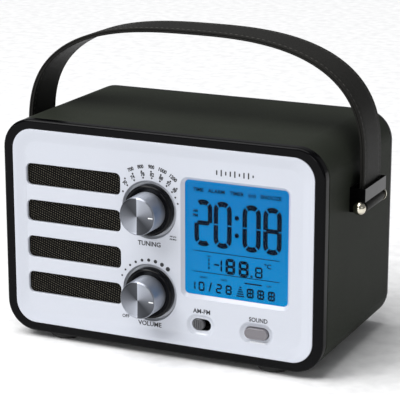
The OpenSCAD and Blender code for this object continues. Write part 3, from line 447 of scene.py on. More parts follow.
# What each material slot of the record looks like on the nodes that are carried over
SLOT_FINISH: dict[str, Finish] = {
    "cabinet_plastic": CASE_PLASTIC, "leatherette": CASE_LEATHER, "foot_rubber": RUBBER,
    "zinc_steel": ZINC, "gloss_black": GLOSS_BLACK, "panel_white": PEARL_WHITE,
    "speaker_cloth": GRILLE_CLOTH, "cone_paper": CONE_PAPER, "ferrite": FERRITE,
    "clear_window": WINDOW, "display_blue": DISPLAY_BLUE, "light_guide": WHITE_PLASTIC, "circuit_board": BOARD_GREEN,
    "bright_metal": CHROME, "knob_black": KNOB_BLACK, "spun_metal": ZINC,
    "switch_grey": SWITCH_GREY, "button_grey": REAR_GREY, "lead_red": LEAD_RED,
    "copper_wire": COIL_COPPER, "cell_wrap": CELL_SLEEVE, "dark_metal": BLACK_NICKEL,
    "nickel": NICKEL, "strap_leather": STRAP_LEATHER,
}
# Nodes that differ from the rest of their slot
NODE_FINISH: dict[str, Finish] = {
    "band_switch": SWITCH_BLACK, "display_holder": SWITCH_BLACK, "case_screws": BLACK_NICKEL}


# ---------------------------------------------------------------------------------------------
# Drawing and cutting
# ---------------------------------------------------------------------------------------------


@dataclass(frozen=True)
class Outline:
    """A closed outline: a rectangle with round corners, or a circle where its ends meet."""

    width: float
    height: float
    radius: float
    x: float = 0.0
    y: float = 0.0
    segments: int = 10

    @staticmethod
    def circle(radius: float, x: float = 0.0, y: float = 0.0, segments: int = 64) -> "Outline":
        """Returns a round outline."""
        return Outline(2 * radius, 2 * radius, radius, x, y, segments)

    @staticmethod
    def oval(width: float, height: float, x: float = 0.0, y: float = 0.0) -> "Outline":
        """Returns an outline with straight sides and half-round ends."""
        return Outline(width, height, height / 2, x, y, 12)

    @property
    def round(self) -> bool:
        """Whether the outline is a circle."""
        return abs(self.width - self.height) < MERGE and self.radius >= self.width / 2 - MERGE

    def grown(self, by: float) -> "Outline":
        """Returns the outline moved outwards all round by a distance."""
        return Outline(self.width + 2 * by, self.height + 2 * by, max(self.radius + by, 0.05 * MM),
                       self.x, self.y, self.segments)

    def draw(self, bm: bmesh.types.BMesh, level: float) -> list[bmesh.types.BMEdge]:
        """Draws the outline at a level.

        Args:
            bm: the mesh to draw in.
            level: the height of the outline above its plane.

        Returns:
            The outline's edges.
        """
        place = Matrix.Translation((self.x, self.y, level))
        if self.round:
            verts = bmesh.ops.create_circle(bm, cap_ends=False, segments=self.segments,
                                            radius=self.width / 2, matrix=place)["verts"]
            return list({e for v in verts for e in v.link_edges})
        half_w, half_h = self.width / 2, self.height / 2
        corners = [(-half_w, -half_h), (half_w, -half_h), (half_w, half_h), (-half_w, half_h)]
        verts = [bm.verts.new(place @ Vector((x, y, 0))) for x, y in corners]
        face = bm.faces.new(verts)
        offset = min(self.radius, 0.999 * half_w, 0.999 * half_h)
        cut = bmesh.ops.bevel(bm, geom=verts, offset=offset, segments=self.segments, profile=0.5,
                              affect="VERTICES", material=-1)
        edges = list({e for v in cut["verts"] for e in v.link_edges})
        faces = list({f for e in edges for f in e.link_faces})
        bmesh.ops.delete(bm, geom=faces or [face], context="FACES_ONLY")
        return edges


Step = tuple[Outline, float]


def eased(outline: Outline, level: float, fillet: float, out: float, down: float,
          cuts: int = 4) -> list[Step]:
    """Rounds the edge between a flat at a level and a wall that stands on the outline.

    Args:
        outline: the wall's outline.
        level: the flat's level.
        fillet: the radius of the rounding.
        out: 1 where the flat lies outside the outline, -1 where it lies inside.
        down: the wall's direction from the flat, 1 for up and -1 for down.
        cuts: how many strips the rounding has.

    Returns:
        The steps from the flat to the wall.
    """
    turns = [math.pi / 2 * i / cuts for i in range(cuts + 1)]
    return [(outline.grown(out * fillet * (1 - math.sin(t))), level + down * fillet * (1 - math.cos(t)))
            for t in turns]


def wall(bm: bmesh.types.BMesh, steps: Sequence[Step]) -> tuple[list, list]:
    """Joins a row of outlines into a wall and returns the first and the last outline's edges."""
    rows = [outline.draw(bm, level) for outline, level in steps]
    for i in range(len(rows) - 1):
        if abs(steps[i][1] - steps[i + 1][1]) < MERGE:
            bmesh.ops.triangle_fill(bm, use_beauty=True, edges=rows[i] + rows[i + 1])
        else:
            bmesh.ops.bridge_loops(bm, edges=rows[i] + rows[i + 1])
    return rows[0], rows[-1]


def plate(bm: bmesh.types.BMesh, border: Sequence[Step], openings: Iterable[Sequence[Step]] = ()) -> None:
    """Makes a closed plate with openings.

    Args:
        bm: the mesh to build in.
        border: the steps of the plate's rim, from its front field round to its back field.
        openings: the steps of each opening, from the front field through to the back field.
    """
    first, last = wall(bm, border)
    front, back = list(first), list(last)
    for opening in openings:
        first, last = wall(bm, opening)
        front += first
        back += last
    for edges in (front, back):
        bmesh.ops.triangle_fill(bm, use_beauty=True, use_dissolve=False, edges=edges)


def boss(bm: bmesh.types.BMesh, outline: Outline, low: float, high: float, fillet: float) -> None:
    """Adds a closed pad between two levels, with its upper edge rounded."""
    plate(bm, eased(outline, high, fillet, -1, -1) + [(outline, low)])


def lathe(bm: bmesh.types.BMesh, profile: Sequence[tuple[float, float, float]], x: float = 0.0,
          y: float = 0.0, steps: int = 72) -> None:
    """Turns a profile about an axis that stands on the drawing plane.

    Args:
        bm: the mesh to build in.
        profile: (radius, level, rounding) of each corner, from one end to the other.
        x: the axis's place along X.
        y: the axis's place along Y.
        steps: how many strips go round.
    """
    verts = [bm.verts.new((x + radius, y, level)) for radius, level, _ in profile]
    edges = [bm.edges.new(pair) for pair in zip(verts, verts[1:])]
    chain = set(verts) | set(edges)
    for vert, (_, _, fillet) in zip(verts, profile):
        if fillet > 0:
            chain.discard(vert)
            made = bmesh.ops.bevel(bm, geom=[vert], offset=fillet, segments=4, profile=0.5,
                                   affect="VERTICES", material=-1)
            chain |= set(made["verts"]) | set(made["edges"])
    chain = {g for g in chain if g.is_valid}
    chain |= {e for g in chain if isinstance(g, bmesh.types.BMVert) for e in g.link_edges}
    bmesh.ops.spin(bm, geom=list(chain), cent=(x, y, 0), axis=(0, 0, 1), angle=math.tau,
                   steps=steps, use_merge=True)


def lettering(bm: bmesh.types.BMesh, words: str, height: float, x: float, y: float, level: float,
              turn: float = 0.0, width: float = 0.0, weight: float = 0.018) -> None:
    """Adds printed characters, centred on a point.

    Args:
        bm: the mesh to add them to.
        words: the characters.
        height: the height of a capital.
        x: the middle along X.
        y: the middle along Y.
        level: the level of the print's face.
        turn: the angle of the line, in radians.
        width: the width of the line, or 0 for the width that its height gives.
        weight: how much bolder the strokes are, as a share of the lettering's size.
    """
    curve = bpy.data.curves.new("lettering", "FONT")
    curve.body = words
    curve.align_x = "CENTER"
    curve.align_y = "CENTER"
    curve.extrude = 0.02
    curve.offset = weight
    curve.resolution_u = 3
    holder = bpy.data.objects.new("lettering", curve)
    bpy.context.scene.collection.objects.link(holder)
    bpy.context.view_layer.update()
    mesh = bpy.data.meshes.new_from_object(holder.evaluated_get(bpy.context.evaluated_depsgraph_get()))
    for vert in bm.verts:
        vert.tag = True
    bm.from_mesh(mesh)
    scale = height / CAP_SHARE
    across = [v.co.x for v in mesh.vertices]
    wide = width / (max(across) - min(across)) if width > 0 else 0.9 * scale
    place = (Matrix.Translation((x, y, level)) @ Matrix.Rotation(turn, 4, "Z")
             @ Matrix.Diagonal((wide, scale, scale, 1.0)))
    bmesh.ops.transform(bm, matrix=place, verts=[v for v in bm.verts if not v.tag])
    bpy.data.objects.remove(holder)
    bpy.data.curves.remove(curve)
    bpy.data.meshes.remove(mesh)


CAP_SHARE = 0.69  # a capital's height as a share of the lettering's size
SHADING_ANGLE = math.radians(38.0)


def absorb(bm: bmesh.types.BMesh, part: bmesh.types.BMesh) -> None:
    """Adds a mesh to another one and frees it.

    Args:
        bm: the mesh that grows.
        part: the mesh that is added, which is used up.
    """
    mesh = bpy.data.meshes.new("part")
    part.to_mesh(mesh)
    part.free()
    bm.from_mesh(mesh)
    bpy.data.meshes.remove(mesh)


def finish_piece(bm: bmesh.types.BMesh, name: str, body: str, finish: Finish,
                 place: Matrix = Matrix.Identity(4), stands_for: Sequence[str] = (),
                 weighted: bool = False, ride: bool = True) -> bpy.types.Object:
    """Turns a mesh into a finished piece of the radio.

    Args:
        bm: the piece's mesh, which is used up.
        name: the piece's name.
        body: the body that it moves with.
        finish: its surface finish.
        place: where the drawing plane lies.
        stands_for: the nodes that it is shown in place of.
        weighted: whether large flats keep their normals beside their roundings.
        ride: whether it rides on the body; the strap's halves don't.

    Returns:
        The piece.
    """
    bmesh.ops.transform(bm, matrix=place, verts=bm.verts)
    bmesh.ops.remove_doubles(bm, verts=bm.verts, dist=MERGE)
    bmesh.ops.dissolve_degenerate(bm, edges=bm.edges, dist=MERGE)
    bmesh.ops.recalc_face_normals(bm, faces=bm.faces)
    mesh = bpy.data.meshes.new(name)
    bm.to_mesh(mesh)
    bm.free()
    mesh.shade_smooth()
    mesh.set_sharp_from_angle(angle=SHADING_ANGLE)
    piece = bpy.data.objects.new(name, mesh)
    bpy.context.scene.collection.objects.link(piece)
    mesh.materials.append(finish.material())
    if weighted:
        shading = piece.modifiers.new("flat_shading", "WEIGHTED_NORMAL")
        shading.keep_sharp = True
        shading.weight = 80
    if ride:
        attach(piece, body)
    if stands_for:
        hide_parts(*stands_for)
    LOG.info("%s: %d faces, on %s", name, len(mesh.polygons), body)
    return piece


def refined(node: str, name: str, body: str, finish: Finish, bevel: float) -> bpy.types.Object:
    """Makes a piece from a copy of a node's mesh with its sharp edges broken."""
    bm = bmesh.new()
    bm.from_mesh(frame["nodes"][node].data)
    bmesh.ops.remove_doubles(bm, verts=bm.verts, dist=MERGE)
    bmesh.ops.dissolve_limit(bm, angle_limit=math.radians(2.0), verts=bm.verts, edges=bm.edges)
    sharp = [e for e in bm.edges if len(e.link_faces) == 2 and e.calc_face_angle(0.0) > SHADING_ANGLE]
    bmesh.ops.bevel(bm, geom=sharp, offset=bevel, segments=2, profile=0.5, affect="EDGES",
                    clamp_overlap=True, material=-1)
    return finish_piece(bm, name, body, finish, stands_for=[node], weighted=True)


# ---------------------------------------------------------------------------------------------
# Where things are
# ---------------------------------------------------------------------------------------------


@dataclass(frozen=True)
class Span:
    """The box of one node at rest."""

    low: Vector
    high: Vector

    @classmethod
    def of(cls, node: str) -> "Span":
        """Returns the box of a node of the frame."""
        return cls(*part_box(node))

    @property
    def mid(self) -> Vector:
        """The middle of the box."""
        return (self.low + self.high) / 2

    @property
    def size(self) -> Vector:
        """The box's width, depth and height."""
        return self.high - self.low


@dataclass
class Layout:
    """Places of the main features, read from the frame."""

    bezel: Span = field(default_factory=lambda: Span.of("front_bezel"))
    panel: Span = field(default_factory=lambda: Span.of("faceplate"))
    leather: Span = field(default_factory=lambda: Span.of("leather_wrap"))
    cover: Span = field(default_factory=lambda: Span.of("rear_cover"))

    @property
    def middle_z(self) -> float:
        """Height of the front panel's middle."""
        return self.panel.mid.z

    @property
    def front(self) -> Matrix:
        """Sets a drawing on the front, with its plane at the bezel's face."""
        return Matrix.Translation((0, self.bezel.low.y, self.middle_z)) @ Matrix.Rotation(math.pi / 2, 4, "X")

    @property
    def back(self) -> Matrix:
        """Sets a drawing on the back, with its plane at the cover's outer face."""
        return (Matrix.Translation((0, self.cover.high.y, self.middle_z))
                @ Matrix.Rotation(math.pi, 4, "Z") @ Matrix.Rotation(math.pi / 2, 4, "X"))

    def up(self, z: float) -> float:
        """Height above the panel's middle of a height above the ground."""
        return z - self.middle_z


# ---------------------------------------------------------------------------------------------
# Case: leather, bezel, front panel and grille
# ---------------------------------------------------------------------------------------------


@dataclass
class Case:
    """The leather round the cabinet, the gloss bezel and the rubber feet."""

    layout: Layout
    corner: float = 19.5 * MM
    leather_edge: float = 0.9 * MM
    leather_thickness: float = 1.2 * MM
    bezel_edge: float = 1.6 * MM
    panel_corner: float = 14.0 * MM
    panel_gap: float = 0.2 * MM
    ledge: float = 3.3 * MM
    ledge_depth: float = 3.6 * MM
    screw_hole: float = 3.2 * MM

    def outline(self, span: Span) -> Outline:
        """Returns the case's outline over the width and height of a node."""
        return Outline(span.size.x, span.size.z, self.corner, 0.0, self.layout.up(span.mid.z), 16)

    def build(self) -> None:
        """Builds the leather, the bezel and the feet."""
        self.build_leather()
        self.build_bezel()
        self.build_feet()

    def build_leather(self) -> None:
        """Builds the leather as a tube with its two ends turned in."""
        span = self.layout.leather
        outline = self.outline(span)
        near, far = (self.layout.bezel.low.y - y for y in (span.low.y, span.high.y))
        inner = outline.grown(-self.leather_thickness)
        bm = bmesh.new()
        border = eased(outline, near, self.leather_edge, -1, -1)
        border += reversed(eased(outline, far, self.leather_edge, -1, 1))
        plate(bm, border, [[(inner, near), (inner, far)]])
        finish_piece(bm, "leather_cover", "cabinet", CASE_LEATHER,
                     self.layout.front, ["leather_wrap"], weighted=True)

    def build_bezel(self) -> None:
        """Builds the bezel: a rounded ring with a ledge behind the panel."""
        outline = self.outline(self.layout.bezel)
        depth = self.layout.panel.low.y - self.layout.leather.low.y + 0.8 * MM
        panel = self.layout.panel
        inner = Outline(panel.size.x, panel.size.z, self.panel_corner, segments=16).grown(self.panel_gap)
        ledge = inner.grown(-self.ledge)
        bm = bmesh.new()
        border = eased(outline, 0.0, self.bezel_edge, -1, -1, 6)
        border += reversed(eased(outline, depth, 0.4 * MM, -1, 1))
        opening = eased(inner, 0.0, 0.35 * MM, 1, -1)
        opening += [(inner, -self.ledge_depth), (ledge, -self.ledge_depth), (ledge, depth)]
        plate(bm, border, [opening])
        finish_piece(bm, "gloss_bezel", "cabinet", GLOSS_BLACK,
                     self.layout.front, ["front_bezel"], weighted=True)

    def build_feet(self) -> None:
        """Turns the four feet, each with a recess for its screw."""
        feet = Span.of("feet")
        radius, height = 11.0 * MM, feet.high.z
        seat = height / 2
        profile = [(self.screw_hole, seat, 0.0), (self.screw_hole, 0.0, 0.3 * MM),
                   (9.3 * MM, 0.0, 0.5 * MM), (10.4 * MM, 0.8 * MM, 0.4 * MM),
                   (radius, 2.1 * MM, 0.4 * MM), (radius, height, 0.0),
                   (self.screw_hole / 2, height, 0.0), (self.screw_hole / 2, seat, 0.0),
                   (self.screw_hole, seat, 0.0)]
        bm = bmesh.new()
        for x in (feet.low.x + radius, feet.high.x - radius):
            for y in (feet.low.y + radius, feet.high.y - radius):
                lathe(bm, profile, x, y)
        finish_piece(bm, "rubber_feet", "cabinet", RUBBER, stands_for=["feet"])


@dataclass
class FrontPanel:
    """The pearl panel with its slots, dishes and display recess, and the cloth behind the slots."""

    layout: Layout
    corner: float = 14.0 * MM
    rim: float = 1.2 * MM
    border: float = 7.2 * MM
    sink: float = 1.5 * MM
    back: float = 3.5 * MM
    slot_height: float = 14.2 * MM
    slot_radius: float = 3.4 * MM
    slot_count: int = 4
    cloth_lap: float = 3.2 * MM
    lens_lap: float = 3.0 * MM
    lens_depth: float = 4.0 * MM
    dish_radius: float = 18.6 * MM
    dish_floor: float = 4.2 * MM
    dish_back: float = 5.4 * MM
    oval_floor: float = 2.9 * MM
    oval_back: float = 4.6 * MM
    oval_gap: float = 0.35 * MM
    band_travel: float = 4.0 * MM
    weave_cell: float = 0.45 * MM
    weave_relief: float = 0.12 * MM

    def __post_init__(self) -> None:
        """Works out the slots from the cloth behind them, and the display from its window."""
        cloth = Span.of("grille_cloth")
        self.slot_width = cloth.size.x - 2 * self.cloth_lap
        self.slot_x = cloth.mid.x
        self.slot_mid = self.layout.up(cloth.mid.z)
        self.slot_pitch = (cloth.size.z - 2 * self.cloth_lap - self.slot_height) / (self.slot_count - 1)
        lens = Span.of("display_lens")
        self.display = Outline(lens.size.x - 2 * self.lens_lap, lens.size.z - 2 * self.lens_lap,
                               3.0 * MM, lens.mid.x, self.layout.up(lens.mid.z))

    def slots(self) -> list[Outline]:
        """Returns the outlines of the grille's slots, from the top one down."""
        top = self.slot_mid + self.slot_pitch * (self.slot_count - 1) / 2
        return [Outline(self.slot_width, self.slot_height, self.slot_radius, self.slot_x,
                        top - i * self.slot_pitch, 6) for i in range(self.slot_count)]

    def build(self) -> None:
        """Builds the panel and the cloth."""
        bm = bmesh.new()
        openings = [eased(slot, -self.sink, 0.55 * MM, 1, -1) + [(slot, -self.back)]
                    for slot in self.slots()]
        openings += [self.dish(Span.of(f"{name}_knob_cap")) for name in ("tuning", "volume")]
        openings += [self.recess(), *self.ovals()]
        plate(bm, self.rim_steps(), openings)
        finish_piece(bm, "front_panel", "cabinet", PEARL_WHITE,
                     self.layout.front, ["faceplate"], weighted=True)
        self.build_cloth()

    def rim_steps(self) -> list[Step]:
        """Returns the panel's sloping border and rim, from its field round to its back."""
        size = self.layout.panel.size
        outline = Outline(size.x, size.z, self.corner, segments=16)
        steps: list[Step] = []
        cuts = 7
        for i in range(cuts + 1):
            share = i / cuts
            inset = self.rim + self.border * (1 - share)
            rise = 0.55 * share + 0.45 * share * share * (3 - 2 * share)
            radius = self.corner - self.rim - (inset - self.rim) / 2
            steps.append((Outline(size.x - 2 * inset, size.z - 2 * inset, radius, segments=16),
                          -self.sink * (1 - rise)))
        return steps + eased(outline, 0.0, 0.35 * MM, -1, -1) + [(outline, -self.back)]

    def dish(self, cap: Span) -> list[Step]:
        """Returns the steps of the dish round a knob, with its cup behind the panel."""
        def ring(radius: float, depth: float) -> Step:
            """Returns a circle round the cap's axis at a depth."""
            return Outline.circle(radius, cap.mid.x, self.layout.up(cap.mid.z), 96), -depth
        edge = eased(ring(self.dish_radius, 0)[0], -self.sink, 0.45 * MM, 1, -1)
        return edge + [ring(self.dish_radius - 0.7 * MM, self.dish_floor - 0.25 * MM),
                       ring(self.dish_radius - 1.0 * MM, self.dish_floor),
                       ring(3.8 * MM, self.dish_floor), ring(3.8 * MM, self.dish_back),
                       ring(self.dish_radius + 0.9 * MM, self.dish_back),
                       ring(self.dish_radius + 0.9 * MM, self.back)]

    def recess(self) -> list[Step]:
        """Returns the steps of the sloping recess round the display."""
        shape = self.display
        return eased(shape.grown(1.7 * MM), -self.sink, 0.5 * MM, 1, -1) + [
            (shape.grown(0.15 * MM), 0.3 * MM - self.lens_depth), (shape, -self.lens_depth),
            (shape.grown(self.lens_lap), -self.lens_depth), (shape.grown(self.lens_lap), -self.back)]

    def ovals(self) -> list[list[Step]]:
        """Returns the steps of the two soft dishes round the band switch and the sound button."""
        band, sound = Span.of("band_switch"), Span.of("sound_button")
        thumb = Span.of("band_slider")
        height = thumb.size.z + 2 * self.oval_gap
        widths = (thumb.size.x + self.band_travel + 2 * self.oval_gap, sound.size.x - 2.3 * MM)
        made = []
        for span, width in zip((band, sound), widths):
            hole = Outline.oval(width, height, span.mid.x, self.layout.up(span.mid.z))
            profile = [(3.4, self.sink), (3.0, self.sink + 0.12 * MM), (1.5, self.oval_floor - 0.14 * MM),
                       (1.1, self.oval_floor - 0.03 * MM), (0.3, self.oval_floor),
                       (0.0, self.oval_floor + 0.25 * MM), (0.0, self.oval_back),
                       (1.4, self.oval_back), (1.4, self.back)]
            made.append([(hole.grown(out * MM), -depth) for out, depth in profile])
        return made

    def build_cloth(self) -> None:
        """Weaves the cloth: a fine grid whose threads rise and fall, stretched behind the slots."""
        lap = 0.8 * MM
        width = self.slot_width + 2 * lap
        height = self.slot_pitch * (self.slot_count - 1) + self.slot_height + 2 * lap
        bm = bmesh.new()
        bmesh.ops.create_grid(bm, x_segments=round(width / self.weave_cell),
                              y_segments=round(height / self.weave_cell), size=0.5)
        level = -(Span.of("grille_cloth").mid.y - self.layout.bezel.low.y)
        slant, turns = math.radians(32.0), math.tau / GRILLE_CLOTH.pitch
        for vert in bm.verts:
            x, z = vert.co.x * width + self.slot_x, vert.co.y * height + self.slot_mid
            across = math.sin(turns * (x * math.cos(slant) + z * math.sin(slant)))
            along = math.sin(0.8 * turns * (z * math.cos(slant) - x * math.sin(slant)))
            vert.co = (x, z, level + self.weave_relief * across * along)
        cloth = finish_piece(bm, "grille_cloth_woven", "cabinet", GRILLE_CLOTH,
                             self.layout.front, ["grille_cloth"])


# ---------------------------------------------------------------------------------------------
# Printed marks and the display
# ---------------------------------------------------------------------------------------------


def disc(bm: bmesh.types.BMesh, x: float, y: float, radius: float, level: float) -> None:
    """Adds a thin printed dot."""
    dot = Outline.circle(radius, x, y, 20)
    plate(bm, [(dot, level), (dot, level - PRINT_THICKNESS)])


def stripe(bm: bmesh.types.BMesh, x: float, y: float, width: float, height: float, level: float) -> None:
    """Adds a thin printed stripe with slightly rounded corners."""
    shape = Outline(width, height, 0.25 * min(width, height), x, y, 3)
    plate(bm, [(shape, level), (shape, level - PRINT_THICKNESS)])


PRINT_THICKNESS = 0.06 * MM


@dataclass
class PanelPrint:
    """The dials and the plain words printed on the front panel."""

    layout: Layout
    panel: FrontPanel
    outer_dots: float = 24.8 * MM
    outer_numbers: float = 27.7 * MM
    inner_dots: float = 20.7 * MM
    inner_numbers: float = 22.8 * MM
    volume_dots: float = 21.4 * MM
    number_height: float = 2.2 * MM
    lift: float = 0.02 * MM

    def build(self) -> None:
        """Prints the dials, the words and a plain row of sound bars."""
        self.level = -self.panel.sink + self.lift
        bm = bmesh.new()
        self.print_tuning(bm, Span.of("tuning_knob_cap").mid)
        self.print_volume(bm, Span.of("volume_knob_cap").mid)
        self.print_words(bm)
        self.print_bars(bm)
        finish_piece(bm, "panel_print", "cabinet", PRINT, self.layout.front)

    def polar(self, centre: Vector, radius: float, angle: float) -> tuple[float, float]:
        """Returns the place at an angle, in degrees, round a knob's axis."""
        turn = math.radians(angle)
        return (centre.x + radius * math.cos(turn),
                self.layout.up(centre.z) + radius * math.sin(turn))

    def ring_of(self, bm: bmesh.types.BMesh, centre: Vector, marks: Sequence[tuple[float, str]],
                dots: float, numbers: float, dot_radius: float) -> None:
        """Prints dots round a knob, with a number outside each dot that has one."""
        for angle, number in marks:
            x, y = self.polar(centre, dots, angle)
            disc(bm, x, y, dot_radius, self.level)
            if number:
                x, y = self.polar(centre, numbers, angle)
                lettering(bm, number, self.number_height, x, y, self.level,
                          math.radians(angle - 90.0), 1.4 * MM * len(number), 0.04)

    def print_tuning(self, bm: bmesh.types.BMesh, centre: Vector) -> None:
        """Prints the tuning knob's two scales."""
        medium_wave = [(132.0, ""), (117.0, "700"), (102.0, "800"), (86.5, "900"), (70.5, "1000"),
                       (53.5, "1200"), (39.5, "")]
        very_high = [(151.0, ""), (136.5, "70"), (119.5, "74"), (101.0, "78"), (84.5, "82"),
                     (68.5, "88"), (54.0, "92"), (40.0, "98"), (29.0, ""), (17.5, "")]
        self.ring_of(bm, centre, medium_wave, self.outer_dots, self.outer_numbers, 0.6 * MM)
        self.ring_of(bm, centre, very_high, self.inner_dots, self.inner_numbers, 0.62 * MM)

    def print_volume(self, bm: bmesh.types.BMesh, centre: Vector) -> None:
        """Prints nine dots that grow with the volume."""
        count = 9
        for i in range(count):
            share = i / (count - 1)
            x, y = self.polar(centre, self.volume_dots, 155.0 - 101.6 * share)
            disc(bm, x, y, (0.62 + 0.86 * share ** 1.3) * MM, self.level)

    def print_words(self, bm: bmesh.types.BMesh) -> None:
        """Prints what each control does."""
        tuning, volume = Span.of("tuning_knob_cap").mid, Span.of("volume_knob_cap").mid
        band, sound = Span.of("band_switch").mid, Span.of("sound_button").mid
        for words, height, width, x, y in (
                ("TUNING", 2.9, 15.8, tuning.x, self.layout.up(tuning.z) - 22.0 * MM),
                ("VOLUME", 2.9, 16.4, volume.x, self.layout.up(volume.z) - 20.7 * MM),
                ("OFF", 2.1, 5.0, volume.x - 17.0 * MM, self.layout.up(volume.z) - 17.8 * MM),
                ("AM-FM", 2.8, 11.7, band.x + 0.9 * MM, self.layout.up(band.z) + 9.2 * MM),
                ("SOUND", 2.7, 12.3, sound.x + 1.4 * MM, self.layout.up(sound.z) + 8.9 * MM),
                ("AM kHz", 1.1, 4.6, tuning.x + 16.4 * MM, self.layout.up(tuning.z) - 15.3 * MM),
                ("FM MHz", 1.1, 4.6, tuning.x + 16.4 * MM, self.layout.up(tuning.z) - 17.1 * MM)):
            lettering(bm, words, height * MM, x, y, self.level, width=width * MM)

    def print_bars(self, bm: bmesh.types.BMesh) -> None:
        """Prints a plain row of sound bars above the display."""
        count, pitch, middle = 9, 3.0 * MM, self.panel.display.x
        top = self.panel.display.y + self.panel.display.height / 2
        for i in range(count):
            height = (1.5 + 2.6 * abs(math.sin(1.1 * i + 0.6))) * MM
            stripe(bm, middle + (i - (count - 1) / 2) * pitch, top + 7.0 * MM, 0.9 * MM, height,
                   self.level)


class Bar(Enum):
    """The seven bars of a display figure."""

    TOP = "a"
    RIGHT_HIGH = "b"
    RIGHT_LOW = "c"
    BOTTOM = "d"
    LEFT_LOW = "e"
    LEFT_HIGH = "f"
    MIDDLE = "g"


LIT: dict[str, str] = {"0": "abcdef", "1": "bc", "2": "abged", "8": "abcdefg"}


@dataclass(frozen=True)
class Figure:
    """One seven-bar figure of the display: a rounded ring cut into six bars, and a middle bar."""

    numeral: str
    x: float
    y: float
    width: float
    height: float
    bar: float
    radius: float

    def draw(self, bm: bmesh.types.BMesh, level: float) -> None:
        """Draws the lit bars with their faces at a level."""
        ring = bmesh.new()
        outer = Outline(self.width, self.height, self.radius, segments=9)
        inner = Outline(self.width - 2 * self.bar, self.height - 2.2 * self.bar,
                        max(self.radius - self.bar, 0.1 * self.bar), segments=9)
        wall(ring, [(outer, 0.0), (inner, -self.bar)])
        bmesh.ops.scale(ring, vec=(1.0, 1.0, 0.0), verts=ring.verts)
        gap = 0.08 * self.bar + 0.12 * MM
        for side in (-gap, gap):
            bmesh.ops.bisect_plane(ring, geom=ring.verts[:] + ring.edges[:] + ring.faces[:],
                                   plane_co=(0, side, 0), plane_no=(0, 1, 0), dist=MERGE)
        dark = [f for f in ring.faces if not self.is_lit(f.calc_center_median(), gap)]
        bmesh.ops.delete(ring, geom=dark, context="FACES")
        if Bar.MIDDLE.value in LIT[self.numeral]:
            middle = Outline(self.width - 1.25 * self.bar, 0.95 * self.bar, 0.4 * self.bar, segments=4)
            bmesh.ops.triangle_fill(ring, use_beauty=True, edges=middle.draw(ring, 0.0))
        grown = bmesh.ops.extrude_face_region(ring, geom=ring.faces[:], use_keep_orig=True)
        lower = [g for g in grown["geom"] if isinstance(g, bmesh.types.BMVert)]
        bmesh.ops.translate(ring, vec=(0, 0, -PRINT_THICKNESS), verts=lower)
        bmesh.ops.translate(ring, vec=(self.x, self.y, level), verts=ring.verts)
        absorb(bm, ring)

    def is_lit(self, centre: Vector, gap: float) -> bool:
        """Whether the ring's face at a place belongs to a lit bar; the gaps between bars don't."""
        beside = max(abs(centre.x) - (self.width / 2 - self.radius), 0.0)
        above = max(abs(centre.y) - (self.height / 2 - self.radius), 0.0)
        if abs(centre.y) < gap or (above > 0 and abs(above - beside) < 0.07 * self.radius):
            return False
        if above > beside:
            bar = Bar.TOP if centre.y > 0 else Bar.BOTTOM
        elif centre.x > 0:
            bar = Bar.RIGHT_HIGH if centre.y > 0 else Bar.RIGHT_LOW
        else:
            bar = Bar.LEFT_HIGH if centre.y > 0 else Bar.LEFT_LOW
        return bar.value in LIT[self.numeral]


